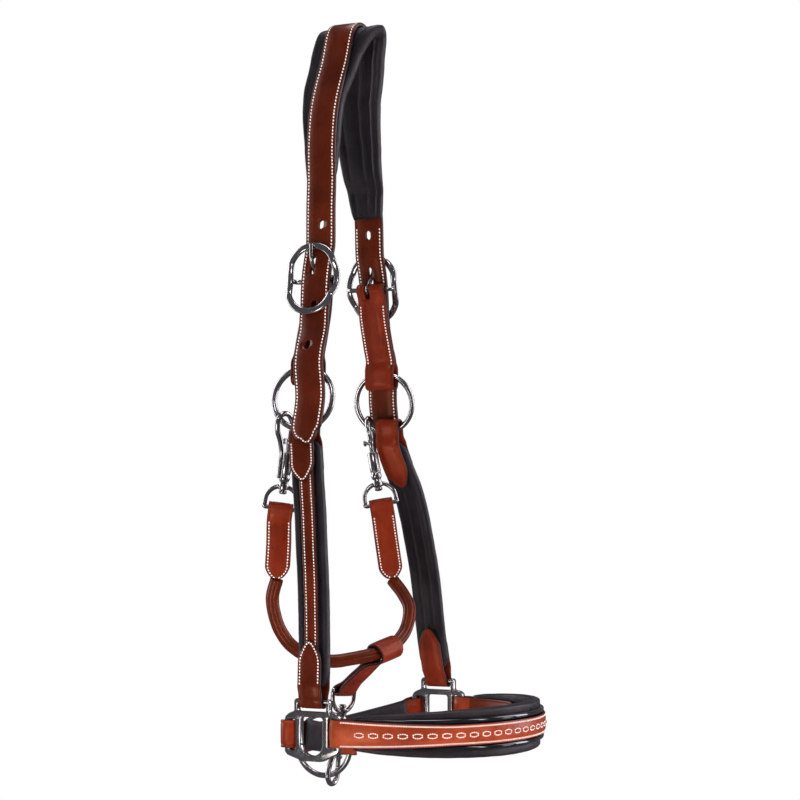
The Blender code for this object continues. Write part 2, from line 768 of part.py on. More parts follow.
def chin_strap(side):
    """From the square's back bar to a loose turn round the chin ring, with a pad on its inner face."""
    sign = SIDES[side]["sign"]
    square_z, ring_z = CHIN_Z
    bar = Vector((SQUARE_CENTRE[0] - SQUARE_WIDTH / 2 + LOOP_BAR / 2, sign * SQUARE_CENTRE[1], square_z))
    held = Vector(CHIN_RING) - CHIN_DIRECTION * sign * (RING_RADIUS - 2.4)
    held.z = ring_z
    bends = [(3.4, 62, -468), (1.0, 36, -473)] if sign < 0 else [(-2, 62, -468), (-17, 36, -473)]
    points = [bar] + [Vector((x, sign * y, z)) for x, y, z in bends] + [held]
    route = curve_through(points, 6.0)
    total = lengths_of(route)[-1]
    bar_wrap, ring_wrap = 3.4 + PLY / 2, 5.0 + PLY / 2
    up = Vector((0, 0, 1)) * -sign
    turns = [math.radians(a) for a in range(0, 181, 30)]
    outline = [(20, -1.5), (12, -1.7), (5, 0.4 - bar_wrap)]
    outline += [(-bar_wrap * math.sin(t), -bar_wrap * math.cos(t)) for t in turns]
    outline += [(6, bar_wrap - 0.6), (13, 1.2), (total * 0.4, 1.2), (total * 0.6, 1.2), (total - 15, 1.2)]
    outline += [(total - 5.5, ring_wrap - 0.7)]
    outline += [(total + ring_wrap * math.sin(t), ring_wrap * math.cos(t)) for t in turns]
    outline += [(total - 5.5, 0.7 - ring_wrap), (total - 13, -1.7), (total - 22, -1.5)]
    loop = []
    for along, height in outline:
        point, direction = place_on(route, along)
        loop.append(point + up.cross(direction).normalized() * height)
    strap(f"{side}_chin_strap", loop, up, blend_between(18.0, 17.0), -PLY / 2, PLY / 2)

    middle = [place_on(route, 15 + (total - 37) * i / 10)[0] for i in range(11)]
    strap(f"{side}_chin_pad", middle, up, blend_between(20.0, 18.5), -6.8, -2.9, "pad")


# ---------------------------------------------------------------- snaps and throat


def snap(name, eye_place, wire_place, lateral, bar_direction):
    """A bolt snap: a swivelling hook with a sprung bolt, on an eye. Returns the eye's place and directions."""
    axis = (wire_place + lateral * HOOK_RADIUS - eye_place).normalized()
    lateral = (lateral - axis * lateral.dot(axis)).normalized()
    eye = wire_place + lateral * HOOK_RADIUS - axis * HOOK_CENTRE
    bar_direction = (bar_direction - axis * bar_direction.dot(axis)).normalized()

    def place(across, along):
        return eye + lateral * across + axis * along

    half = EYE_WIDTH / 2 - EYE_WIRE
    shape = [(-half, 0), (-half / 2, 0), (half / 2, 0), (half, 0), (half, 2.5)]
    shoulder = 4.0
    for turn in [math.pi * i / 10 for i in range(1, 10)]:
        shape.append((half * math.cos(turn), shoulder + (EYE_TOP - shoulder) * math.sin(turn)))
    shape += [(-half, 2.5)]
    eye_node = tube(
        f"{name}_eye",
        [eye + bar_direction * a + axis * b for a, b in shape],
        EYE_WIRE,
        cyclic=True,
        across=bar_direction.cross(axis),
    )
    boss = turned(f"{name}_boss", [(EYE_TOP - 2.3, 3.4), (EYE_TOP + 2.3, 3.0)], eye, axis, sides=12)
    boolean(eye_node, boss, "UNION")
    drill = turned(f"{name}_drill", [(EYE_TOP - 6, 1.75), (EYE_TOP + 6, 1.75)], eye, axis, sides=12)
    boolean(eye_node, drill, "DIFFERENCE")

    low, high = SNAP_BARREL
    body_profile = [(EYE_TOP - 5.2, 1.6), (EYE_TOP - 4.6, 2.7), (EYE_TOP - 3.2, 2.7), (EYE_TOP - 2.7, 1.4)]
    body_profile += [(low - 0.4, 1.4), (low, 2.9), (low + 2, SNAP_BARREL_RADIUS)]
    body_profile += [(high - 0.6, SNAP_BARREL_RADIUS), (high, 3.1)]
    body = turned(f"{name}_hook", body_profile, eye, axis, sides=16)
    hook = [(-5.0, low + 2.5), (-5.2, 30), (-5.6, 37), (-8.4, 45), (-11.8, 51)]
    hook += [
        (-HOOK_RADIUS + HOOK_RADIUS * math.cos(t), HOOK_CENTRE + HOOK_RADIUS * math.sin(t))
        for t in map(math.radians, (172, 146, 120, 90, 60, 30, 0))
    ]
    hook += [(0, BOLT_TIP + GAP + 0.2)]
    wire = tube(f"{name}_hook_wire", [place(a, b) for a, b in hook], HOOK_WIRE, across=lateral.cross(axis))
    boolean(body, wire, "UNION")
    clear = BOLT_RADIUS + GAP
    bore = turned(f"{name}_bore", [(28 - BOLT_TRAVEL - 1, clear), (high + 3, clear)], eye, axis, sides=12)
    boolean(body, bore, "DIFFERENCE")
    set_origin(body, eye)

    bolt_profile = [(28, BOLT_RADIUS), (42.4, BOLT_RADIUS), (42.8, 2.5), (45.8, 2.5), (46.2, BOLT_RADIUS)]
    bolt = turned(f"{name}_bolt", bolt_profile + [(BOLT_TIP, BOLT_RADIUS)], eye, axis, sides=12)
    knob_profile = [(1.0, 1.4), (3.2, 1.4), (3.7, 2.0), (4.7, 2.0), (5.2, 1.2)]
    knob_axis = lateral.cross(axis)
    knob_axis *= -math.copysign(1, knob_axis.x)
    knob = turned(f"{name}_knob", knob_profile, place(0, 44.3), knob_axis, sides=10)
    boolean(bolt, knob, "UNION")
    set_origin(bolt, eye)
    return eye, axis, bar_direction


def throat_side(side):
    """The snap on a cheek ring and the stitched tab that joins it to the rolled throat strap."""
    data = SIDES[side]
    wire = wire_point(at(side, data["ring"]), ring_axes(side), data["snap_angle"])
    x, y, _ = SNAP_LATERAL
    lateral = Vector((x, -y * data["sign"], 0))
    eye, axis, bar_direction = snap(f"{side}_snap", at(side, data["snap_eye"]), wire, lateral, EYE_DIRECTION)
    end = at(side, data["tab_end"])
    out = bar_direction.cross(axis).normalized()
    route = curve_through([eye, eye - axis * 8, (eye + end) / 2, end], 6.0)
    wrap = EYE_WIRE + GAP + PLY / 2
    total = lengths_of(route)[-1]
    outline = [(total - 1, 6.0), (total - 5, 4.6), (total * 0.5, 2.8), (8, 1.4), (4.5, 1.6), (0, wrap)]
    outline += [(-wrap * math.sin(t), wrap * math.cos(t)) for t in map(math.radians, (30, 60, 90))]
    both = [(a, h, out) for a, h in outline] + [(a, -h, out) for a, h in outline[-2::-1]]
    points = fold_over(route, both)
    strap(f"{side}_throat_tab", points, bar_direction, pointed(16.5, 7, 9), -PLY / 2, PLY / 2)
    return end


def throat_roll(ends):
    """The rolled strap under the throat, from one stitched tab to the other."""
    route = curve_through([ends["right"]] + ROLL + [ends["left"]], 10.0)
    curve = bpy.data.curves.new("throat_roll", "CURVE")
    curve.dimensions = "3D"
    curve.bevel_depth = ROLL_RADIUS * MM
    curve.bevel_resolution = 2
    curve.use_fill_caps = True
    curve.materials.append(material("leather"))
    line = curve.splines.new("POLY")
    line.points.add(len(route) - 1)
    for point, place in zip(line.points, route):
        point.co = (*(place * MM), 1)
    made = bpy.data.objects.new("throat_roll", curve)
    bpy.context.scene.collection.objects.link(made)


def connector(chin_eye, bar_direction):
    """A doubled strap that hangs on the rolled strap and carries the chin snap."""
    axis = CONNECTOR_ACROSS
    fall = chin_eye - CONNECTOR_TOP
    down = (fall - axis * fall.dot(axis)).normalized()
    out = axis.cross(down).normalized()
    top, bottom = ROLL_RADIUS + 1.5 + PLY / 2, EYE_WIRE + GAP + 0.1 + PLY / 2
    close = (PLY + FOLD_GAP) / 2
    end_down = (fall - bar_direction * fall.dot(bar_direction)).normalized()
    end_out = bar_direction.cross(end_down).normalized()

    def on_leg(share, height):
        return CONNECTOR_TOP + fall * share + (out + (end_out - out) * share).normalized() * height

    turns = [math.radians(a) for a in range(0, 91, 18)]
    ends = [math.radians(a) for a in (0, 30, 60, 90)]
    heights = ((0.24, close + 1), (0.34, close), (0.6, close), (0.82, close), (0.93, bottom - 0.5))
    outer, inner = [], []
    for leg, sign in ((outer, 1), (inner, -1)):
        leg += [CONNECTOR_TOP - down * top * math.cos(t) + out * sign * top * math.sin(t) for t in turns]
        leg += [on_leg(share, sign * height) for share, height in heights]
        for turn in ends:
            leg.append(chin_eye + (end_down * math.sin(turn) + end_out * sign * math.cos(turn)) * bottom)
    points = outer + inner[-2:0:-1]

    def share_of(along, total_loop):
        return min(along, total_loop - along) / (total_loop / 2)

    def across(along, total_loop):
        return axis + (bar_direction - axis) * share_of(along, total_loop)

    def width(along, total_loop):
        return 22.0 - 5.0 * share_of(along, total_loop)

    strap("connecting_strap", points, across, width, -PLY / 2, PLY / 2, cyclic=True, skewed=True)


def build():
    for old in list(bpy.data.objects):
        bpy.data.objects.remove(old, do_unlink=True)
    crown()
    ends = {}
    for side in SIDES:
        buckle(side)
        upper_cheek(side)
        cheek_ring(side)
        lower_cheek(side)
        side_square(side)
        chin_strap(side)
        ends[side] = throat_side(side)
    noseband()
    chin_axes = (CHIN_DIRECTION, Vector((0, 0, 1)))
    make_ring("chin_ring", Vector(CHIN_RING), chin_axes)
    wire = wire_point(Vector(CHIN_RING), chin_axes, -70)
    chin_eye, _, bar_direction = snap("chin_snap", CHIN_EYE, wire, Vector((0, 1, 0)), CHIN_BAR_DIRECTION)
    throat_roll(ends)
    connector(chin_eye, bar_direction)


build()
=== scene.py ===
"""The looks of a bitless hackamore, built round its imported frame.

Routes are in millimetres, as in the CAD, and become metres when a mesh is made. +X is the way the horse's
nose points, +Y is its left, and the crown pad's underside at the crest is the origin.
"""

import json
import math

import bmesh
import bpy
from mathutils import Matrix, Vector, noise

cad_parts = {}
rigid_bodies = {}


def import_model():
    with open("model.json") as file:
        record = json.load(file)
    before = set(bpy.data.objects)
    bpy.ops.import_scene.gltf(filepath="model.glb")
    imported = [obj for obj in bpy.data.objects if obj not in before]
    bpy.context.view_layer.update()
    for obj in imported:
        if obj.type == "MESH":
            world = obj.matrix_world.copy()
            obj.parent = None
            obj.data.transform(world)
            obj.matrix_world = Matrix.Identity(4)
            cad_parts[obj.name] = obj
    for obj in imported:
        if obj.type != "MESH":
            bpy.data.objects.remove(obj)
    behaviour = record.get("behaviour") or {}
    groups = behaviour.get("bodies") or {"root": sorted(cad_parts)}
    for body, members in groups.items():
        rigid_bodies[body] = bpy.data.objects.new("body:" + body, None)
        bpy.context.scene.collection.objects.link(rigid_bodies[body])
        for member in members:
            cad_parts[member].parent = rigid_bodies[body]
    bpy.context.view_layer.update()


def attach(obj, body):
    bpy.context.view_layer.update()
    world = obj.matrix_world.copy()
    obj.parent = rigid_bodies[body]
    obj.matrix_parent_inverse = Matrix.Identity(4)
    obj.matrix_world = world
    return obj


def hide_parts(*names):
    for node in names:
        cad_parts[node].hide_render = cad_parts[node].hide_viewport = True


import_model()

MM = 0.001
GAP = 0.3

# The CAD's own sizes and routes
STRAP_WIDTH = 22.0
CREST_WIDTH = 26.6
CROWN_THICK = 3.0
PLY = 1.8  # one ply of a folded strap
FOLD_GAP = 0.4  # between the two plies of a fold
CROWN_PAD_THICK = 7.5
CHEEK_PAD_THICK = 5.4
CHEEK_PAD_WIDTH = 22.0
CHEEK_STRIP_WIDTH = 10.0
CHEEK_STRIP_THICK = 2.0
TAB_WIDTH = 17.0
RING_TAB_LENGTH = 39.6
SQUARE_TAB_LENGTH = 38.0
THROAT_TAB_WIDTH = 16.5
RING_RADIUS = 20.6  # to the middle of the wire
WIRE_RADIUS = 1.9
BUCKLE_WIDTH = 40.5
BUCKLE_HEIGHT = 49.0
BUCKLE_BAND = 4.6
BUCKLE_THICK = 2.8
BUCKLE_BOW = 8.2  # how far the frame's top and bottom stand out from its bar
BUCKLE_SET = 4.6  # how far its sides do
BAR_RADIUS = 1.6
SQUARE_THICK = 4.5
SQUARE_WIDTH = 40.0
LOOP_BAR = 4.0  # width of the bars that the nose and chin straps fold round
LOOP_SLOT = 4.0
# A snap, along its own axis from the middle of its eye's bar
EYE_WIDTH = 25.0
EYE_WIRE = 1.5
EYE_TOP = 14.5
SNAP_BARREL = (17.4, 36.8)
SNAP_BARREL_RADIUS = 3.7
HOOK_CENTRE = 56.5
HOOK_RADIUS = 6.5
HOOK_WIRE = 1.8
BOLT_RADIUS = 1.6
BOLT_TRAVEL = 4.5
BOLT_TIP = 52.1
# The crown strap's holes
HOLE_WIDTH = 4.4
HOLE_HEIGHT = 6.4
HOLE_SPACING = 27.8
HOLE_START = -10.0  # from the buckle's bar
TONGUE_HOLE = (-9.2, 12.6)  # the place and height of the hole that the tongue passes through
TONGUE_RADIUS = 1.35

CREST = [
    (-0.3, 0, 7.65), (-0.3, 6.5, 5.6), (-0.4, 10.6, 0.4),
    (-0.7, 13.2, -8), (-1.3, 16.5, -20), (-3.6, 21.5, -38),
]
ARM = [(-5.2, 24.6, -55), (-5.4, 26.8, -78), (-3.9, 29.2, -100), (-3.0, 31.6, -120)]
# By their share of the way from the crest to the crown pad's end, how far its edges lie from the strap's
# middle: the rear one, the right arm's front one and the left arm's
PAD_EDGES = [
    (0, 19.7, 27.9, 27.9), (0.2, 22, 16.4, 21.8), (0.4, 21, 11.6, 17.6),
    (0.65, 15.5, 11.6, 17.4), (0.87, 12.8, 8.4, 15.2), (1, 9.5, 7, 12.6),
]
# The y of each place is how far it is out from the middle
SIDES = {
    "right": {
        "sign": -1,
        "bar": (-4.5, 36.0, -169.0),
        "strap_x": (-1.5, -2.8),  # the crown strap's and the upper cheek's, at the buckle
        "tail_x": (0.8, 4.4, 6.8),  # the crown strap's tail's, above, over and below the ring
        "tail_height": (5.3, 5.6, 8.4),  # over the ring's top and middle, and the tab below it
        "ring": (-5.2, 52.5, -248.0),
        "cheek_x": (-3.4, -1.2),  # where the upper and the lower cheek meet the ring
        "cheek": [(0.8, 58.9, -281), (4.2, 63.4, -294)],
        "snap_angle": 234.0,  # where round the ring the snap holds it
        "snap_eye": (-23.5, 50.0, -318.0),
        "tab_end": (-28.0, 48.0, -368.0),
    },
    "left": {
        "sign": 1,
        "bar": (-4.5, 36.0, -169.0),
        "strap_x": (-3.6, -2.0),
        "tail_x": (-5.0, -7.4, -7.6),
        "tail_height": (6.0, 6.9, 9.4),
        "ring": (-1.8, 53.8, -247.5),
        "cheek_x": (-2.0, 0.6),
        "cheek": [(1.8, 60.1, -281), (5.0, 64.2, -294)],
        "snap_angle": 236.0,
        "snap_eye": (2.0, 43.5, -321.0),
        "tab_end": (9.5, 45.0, -371.0),
    },
}
CHEEK = [(8.6, 69.3, -307), (11.8, 72.6, -323), (14.8, 76.0, -345), (18.1, 79.3, -372), (21.1, 83, -413)]
RING_TURN = math.radians(9)
RING_TILT = math.radians(10)
RING_LEAD = 8.0
SQUARE_CENTRE = (23.5, 88.0, -465.5)
SQUARE_TOP_BAR_Z = -443.0
NOSE_CENTRE_X = 50.0
NOSE_REACH = (80.0, 86.0)  # forward and sideways
NOSE_ENDS = (52, 87.2)
NOSE_Z = -462.5
NOSE_END_WIDTH = 18.0
NOSE_LINING_WIDTHS = (20.0, 32.5)  # at its ends and in front
NOSE_FACING_WIDTHS = (18, 20.9)
NOSE_TURNED_BACK = 46.0  # at each end, the length that is turned back behind the square
CHIN_RING = (-19.5, 0.0, -482.0)
CHIN_DIRECTION = Vector((1, 0, 0))
CHIN_Z = (-464.5, -479.0)  # at the square and at the ring
CHIN_BENDS = {"right": [(3.4, 62, -468), (1.0, 36, -473)], "left": [(-2, 62, -468), (-17, 36, -473)]}
CHIN_WIDTHS = (18.0, 17.0)
CHIN_PAD_WIDTHS = (20.0, 18.5)
EYE_DIRECTION = Vector((0.883, 0.469, 0))
SNAP_LATERAL = Vector((0.26, 0.966, 0))
CHIN_EYE = Vector((-10.2, 11.5, -444.0))
ROLL_RADIUS = 4.5
ROLL = [
    (-32.0, -47, -381), (-29.5, -45, -397), (-23.5, -42, -409), (-15.5, -38, -416.5), (-6, -34, -421),
    (4, -27, -422.5), (13, -16, -421), (20, -4, -419), (23.5, 8, -417), (26, 22, -411.5),
    (27, 33, -402.5), (25.5, 40, -390), (18, 43.5, -379.5),
]
CONNECTOR_TOP = Vector((23.5, 8.0, -417.0))
CONNECTOR_ACROSS = Vector((0.22, 0.94, 0.27)).normalized()
CONNECTOR_WIDTHS = (22.0, 17.0)  # on the roll and on the snap's eye
CHIN_BAR_DIRECTION = Vector((0.2, 0.98, 0)).normalized()

# How the visible pieces are drawn
FINE = 2.0  # spacing of a strap's sections
PITCH = 2.3  # of the stitches
SEAM_IN = 2.0  # from a strap's edge to its stitches
SEAM_DEPTH = 0.22
THREAD_SUNK = 0.02  # from the leather's face down to the middle of a stitch
STITCH_SIDES = 6
# Along a stitch, and the share of its thickness there
STITCH = ((-0.5, 0.45), (-0.34, 1.0), (0.34, 1.0), (0.5, 0.45))
# In from a strap's edge, down by this share of its thickness, and how much edge paint
EDGE = ((0, 0.5, 1), (0.1, 0.24, 1), (0.34, 0.07, 0.6), (0.8, 0, 0))
# In from a strap's edge, and down by this share of the seam's depth
CHANNEL = ((1.4, 0), (1.75, 1), (2.25, 1), (2.6, 0))
CUTTER_DEPTHS = (-9, 9)  # well past a strap's two faces
ROLL_GROOVE = 0.75
PAD_END_Z = -121.0
PAD_CLOSE = 5.0  # how far from its ends a pad starts to close
NOSE_SEAM_START = 72.0  # along the strap from either end
NOSE_OVALS_START = 80.0
OVAL_PITCH = 9.4
OVAL_SIDES = 20
OVAL_HALF = (2.8, 1.15)
OVAL_SEAM_HALF = (3.1, 1.4)
OVAL_RAISE = 0.42
# Height above an oval's base, and the share of its size there
OVAL_DOME = ((-0.5, 1.0), (0.0, 0.97), (0.35, 0.82), (0.6, 0.55), (0.7, 0.2))
QUARTER_TURN = [math.radians(angle) for angle in (0, 30, 60, 90)]
HALF_TURN = [math.radians(angle) for angle in range(0, 181, 30)]
UP = Vector((0, 0, 1))
DOWN = Vector((0, 0, -1))
X_AXIS = Vector((1, 0, 0))


# ---- camera

VIEW_RIGHT = Vector((0.883, 0.469, 0))
VIEW_FORWARD = Vector((-0.469, 0.883, 0))
CAMERA_PLACE = (34.8, -1500, -308)  # to the right, forward and up, as the camera looks
CAMERA_TILT = 92.32
CAMERA_LENS = 99.14


def around(right, forward, up):
    """A place given as the camera sees it: to the right, away and up."""
    return (VIEW_RIGHT * right + VIEW_FORWARD * forward) + UP * up


def link(name, data):
    made = bpy.data.objects.new(name, data)
    bpy.context.scene.collection.objects.link(made)
    return made


def add_camera():
    data = bpy.data.cameras.new("camera")
    data.sensor_width = 36
    data.lens = CAMERA_LENS
    camera = link("camera", data)
    camera.location = around(*CAMERA_PLACE) * MM
    camera.rotation_euler = (math.radians(CAMERA_TILT), 0, math.atan2(-VIEW_FORWARD.x, VIEW_FORWARD.y))
    bpy.context.scene.camera = camera


# ---- materials


class Look:
    """A node material, with short ways to add its nodes."""

    def __init__(self, name, **sockets):
        self.material = bpy.data.materials.new(name)
        self.material.use_nodes = True
        self.tree = self.material.node_tree
        self.shader = self.tree.nodes["Principled BSDF"]
        for label, setting in sockets.items():
            self.shader.inputs[label.replace("_", " ")].default_value = setting
        self.place = self.add("ShaderNodeTexCoord").outputs["Object"]

    def add(self, kind, inputs=None, **settings):
        """A new node, with its own settings and what goes into its sockets."""
        node = self.tree.nodes.new(kind)
        for label, setting in settings.items():
            setattr(node, label, setting)
        for label, source in (inputs or {}).items():
            self.feed(node.inputs[label], source)
        return node

    def feed(self, socket, source):
        """Joins another node's output to a socket, or sets its number or colour."""
        if isinstance(source, bpy.types.NodeSocket):
            self.tree.links.new(source, socket)
        else:
            socket.default_value = source

    def set(self, label, source):
        self.feed(self.shader.inputs[label], source)

    def noise(self, scale, detail=3.0, stretch=None, rough=0.55):
        place = self.place
        if stretch:
            place = self.add("ShaderNodeMapping", {"Scale": stretch, "Vector": place}).outputs["Vector"]
        inputs = {"Scale": scale, "Detail": detail, "Roughness": rough, "Vector": place}
        return self.add("ShaderNodeTexNoise", inputs).outputs["Fac"]

    def cells(self, scale):
        return self.add("ShaderNodeTexVoronoi", {"Scale": scale, "Vector": self.place}).outputs["Distance"]

    def attribute(self, name):
        return self.add("ShaderNodeAttribute", attribute_name=name).outputs["Fac"]

    def ramp(self, source, stops):
        node = self.add("ShaderNodeValToRGB", {"Fac": source})
        elements = node.color_ramp.elements
        while len(elements) < len(stops):
            elements.new(0.5)
        for element, (position, colour) in zip(elements, stops):
            element.position = position
            element.color = (*colour, 1)
        return node.outputs["Color"]

    def spread(self, source, low, high, start=0.0, end=1.0):
        inputs = {"From Min": start, "From Max": end, "To Min": low, "To Max": high, "Value": source}
        return self.add("ShaderNodeMapRange", inputs).outputs["Result"]

    def mix(self, factor, first, second):
        """Mixes a colour output toward a plain colour."""
        inputs = {0: factor, 6: first, 7: (*second, 1)}
        return self.add("ShaderNodeMix", inputs, data_type="RGBA").outputs[2]

    def bump(self, *layers):
        """Each layer is a height output, its strength, and its depth in metres."""
        normal = None
        for height, strength, depth in layers:
            inputs = {"Strength": strength, "Distance": depth, "Height": height}
            if normal:
                inputs["Normal"] = normal
            normal = self.add("ShaderNodeBump", inputs).outputs["Normal"]
        self.set("Normal", normal)


def leather_look(name, dark, middle, light, seed):
    """Waxed bridle leather: clouded colour, fine pores and creases, painted edges and a soft gloss."""
    look = Look(name, Specular_IOR_Level=0.5, Coat_Weight=0.1, Coat_Roughness=0.14)
    look.shader.inputs["Specular Tint"].default_value = (1.0, 0.42, 0.26, 1)
    colour = look.ramp(look.noise(34 + seed, 4.0), [(0.3, dark), (0.5, middle), (0.74, light)])
    colour = look.mix(look.spread(look.noise(420), 0.0, 0.35, 0.45, 0.8), colour, dark)
    look.set("Base Color", look.mix(look.attribute("rim"), colour, EDGE_PAINT))
    look.set("Roughness", look.spread(look.noise(90), 0.26, 0.40, 0.3, 0.7))
    pores = look.cells(1500)
    creases = look.noise(260, 5.0, stretch=(1.0, 1.0, 0.35), rough=0.65)
    look.bump((creases, 0.22, 0.0006), (pores, 0.16, 0.0003))
    return look.material


def nappa_look():
    """Soft black leather with a fine grain and a cool, slightly purple sheen."""
    look = Look("nappa", Sheen_Weight=0.05, Sheen_Roughness=0.35, Specular_IOR_Level=0.42)
    look.shader.inputs["Sheen Tint"].default_value = (0.70, 0.60, 0.78, 1)
    shades = [(0.3, (0.0062, 0.0047, 0.0060)), (0.7, (0.015, 0.0105, 0.0135))]
    look.set("Base Color", look.ramp(look.noise(45, 4.0), shades))
    look.set("Roughness", look.spread(look.noise(120), 0.36, 0.52, 0.3, 0.7))
    grain = look.cells(1100)
    folds = look.noise(150, 5.0, rough=0.6)
    look.bump((folds, 0.25, 0.0009), (grain, 0.3, 0.0004))
    return look.material


def patent_look():
    """Black patent leather, with the slight waves of its film."""
    look = Look("patent", Coat_Weight=1.0, Coat_Roughness=0.03, Specular_IOR_Level=0.6)
    shades = [(0.3, (0.0022, 0.0022, 0.003)), (0.7, (0.005, 0.0048, 0.006))]
    look.set("Base Color", look.ramp(look.noise(60, 2.0), shades))
    look.set("Roughness", look.spread(look.noise(200), 0.06, 0.13, 0.3, 0.7))
    look.bump((look.noise(220, 2.0), 0.12, 0.0005))
    return look.material


def steel_look():
    """Polished steel with faint scratches and a cast surface's soft waves."""
    look = Look("steel", Metallic=1.0)
    shades = [(0.25, (0.50, 0.48, 0.475)), (0.75, (0.66, 0.64, 0.645))]
    look.set("Base Color", look.ramp(look.noise(70), shades))
    look.set("Roughness", look.spread(look.noise(320, 4.0, rough=0.7), 0.13, 0.24, 0.35, 0.75))
    scratches = look.noise(900, 2.0, stretch=(1.0, 1.0, 0.08))
    look.bump((scratches, 0.05, 0.0001), (look.noise(120, 2.0), 0.06, 0.0004))
    return look.material


def thread_look():
    """Cream waxed thread."""
    look = Look("thread", Specular_IOR_Level=0.3, Sheen_Weight=0.2)
    shades = [(0.3, (0.66, 0.53, 0.48)), (0.7, (0.95, 0.87, 0.82))]
    look.set("Base Color", look.ramp(look.noise(700), shades))
    look.set("Roughness", look.spread(look.noise(1500, 2.0), 0.5, 0.75))
    look.bump((look.noise(2600, 2.0), 0.35, 0.0002))
    return look.material


LOOKS = {}
# Each leather's darkest, middle and lightest colours, and how far its clouds are shifted
LEATHERS = {
    "leather": ((0.042, 0.0048, 0.0014), (0.070, 0.0080, 0.0020), (0.105, 0.013, 0.0034), 0),
    # Redder and lighter: partly a redder leather, partly painted light where light falls on the far side's
    # pieces
    "russet": ((0.085, 0.0080, 0.0026), (0.140, 0.0135, 0.0042), (0.200, 0.023, 0.0070), 3),
    # Lighter still: a painted highlight, for the noseband's strap and its ovals
    "light": ((0.130, 0.0150, 0.0050), (0.210, 0.0280, 0.0085), (0.300, 0.050, 0.0150), 5),
}
EDGE_PAINT = (0.010, 0.0085, 0.011)
# The pieces drawn in a redder or lighter copy of the leather, by the start of their names.
# The redder copy is partly a redder leather and partly painted light on the far side's pieces;
# the lighter one is a painted highlight on the noseband.
TONED_AND_LIT_PIECES = {
    "russet": (
        "left_upper", "left_ring_tab", "left_square_tab", "connect",
        "right_throat", "left_throat", "right_chin", "left_chin",
    ),
    "light": ("noseband_",),
}


def make_looks():
    for name, colours in LEATHERS.items():
        LOOKS[name] = leather_look(name, *colours)
    LOOKS.update(nappa=nappa_look(), patent=patent_look(), steel=steel_look(), thread=thread_look())


def shade_leather():
    """Gives the listed pieces their redder or lighter leather, which is partly a redder tone and partly
    painted light.
    """
    for made in bpy.data.objects:
        shade = next((shade for shade, names in TONED_AND_LIT_PIECES.items() if made.name.startswith(names)), None)
        if shade and made.data.materials and made.data.materials[0] == LOOKS["leather"]:
            made.data.materials[0] = LOOKS[shade]


# ---- meshes


def add_mesh(name, points, faces, kind, rims=None, angle=40):
    """A closed mesh in metres from points in millimetres, with its faces turned out."""
    mesh = bpy.data.meshes.new(name)
    mesh.from_pydata([Vector(p) * MM for p in points], [], faces)
    shell = bmesh.new()
    shell.from_mesh(mesh)
    bmesh.ops.recalc_face_normals(shell, faces=shell.faces)
    shell.to_mesh(mesh)
    shell.free()
    mesh.materials.append(LOOKS[kind])
    if rims:
        mesh.attributes.new("rim", "FLOAT", "POINT").data.foreach_set("value", rims)
    made = link(name, mesh)
    mesh.shade_smooth()
    mesh.set_sharp_from_angle(angle=math.radians(angle))
    return made


def shell_faces(start, rows, size, cyclic=False):
    """The faces round rows of points, with the ends closed unless the rows run round."""
    faces = []
    for row in range(rows if cyclic else rows - 1):
        here, there = start + row * size, start + (row + 1) % rows * size
        for i in range(size):
            j = (i + 1) % size
            faces.append((here + i, here + j, there + j, there + i))
    if not cyclic:
        faces.append(tuple(range(start, start + size)))
        faces.append(tuple(range(start + (rows - 1) * size, start + rows * size)))
    return faces


def skin(name, loops, kind, cyclic=False, rims=None, angle=40):
    """Joins equal loops of points into one body."""
    points = [point for loop in loops for point in loop]
    return add_mesh(name, points, shell_faces(0, len(loops), len(loops[0]), cyclic), kind, rims, angle)


def combine(made, *others, operation="UNION"):
    """Joins closed meshes to the first one, or cuts them from it, for good."""
    for other in others:
        modifier = made.modifiers.new("combine", "BOOLEAN")
        modifier.operation = operation
        modifier.object = other
    bpy.context.view_layer.update()
    mesh = bpy.data.meshes.new_from_object(made.evaluated_get(bpy.context.evaluated_depsgraph_get()))
    made.modifiers.clear()
    made.data = mesh
    for other in others:
        bpy.data.objects.remove(other, do_unlink=True)


def finish_piece(made, nodes=(), body="leather"):
    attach(made, body)
    if nodes:
        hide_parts(*nodes)


def finish_pad(made, node):
    finish_piece(made, [node])


# ---- routes


def stretches(points, cyclic=False):
    """Each stretch between two points, with the points on either side of it."""
    points = [Vector(p) for p in points]
    if cyclic:
        ends = [points[-1]] + points + points[:2]
    else:
        ends = [2 * points[0] - points[1]] + points + [2 * points[-1] - points[-2]]
    return zip(ends, ends[1:], ends[2:], ends[3:])


def shares(first, last, spacing):
    """How far along a stretch each of its points is, at about `spacing`."""
    steps = max(1, round((last - first).length / spacing))
    return [step / steps for step in range(steps)]


def curve_through(points, spacing):
    """The CAD's own curve: points about every `spacing` on a smooth curve through the given ones."""
    out = []
    for a, b, c, d in stretches(points):
        first, second = 2 * a - 5 * b + 4 * c - d, 3 * b - a - 3 * c + d
        out += [0.5 * (2 * b + (c - a) * t + first * t**2 + second * t**3) for t in shares(b, c, spacing)]
    return out + [Vector(points[-1])]


def even_curve(points, spacing=FINE, cyclic=False):
    """A smooth curve that doesn't overshoot where the given points are unevenly spaced."""
    out = []
    for a, b, c, d in stretches(points, cyclic):
        ab, bc, cd = (math.sqrt(max(1e-6, (q - p).length)) for p, q in ((a, b), (b, c), (c, d)))
        leave = (c - b) + bc * ((b - a) / ab - (c - a) / (ab + bc))
        arrive = (c - b) + bc * ((d - c) / cd - (d - b) / (bc + cd))
        for t in shares(b, c, spacing):
            place = (2 * t**3 - 3 * t**2 + 1) * b + (t**3 - 2 * t**2 + t) * leave
            out.append(place + (3 * t**2 - 2 * t**3) * c + (t**3 - t**2) * arrive)
    return out if cyclic else out + [Vector(points[-1])]


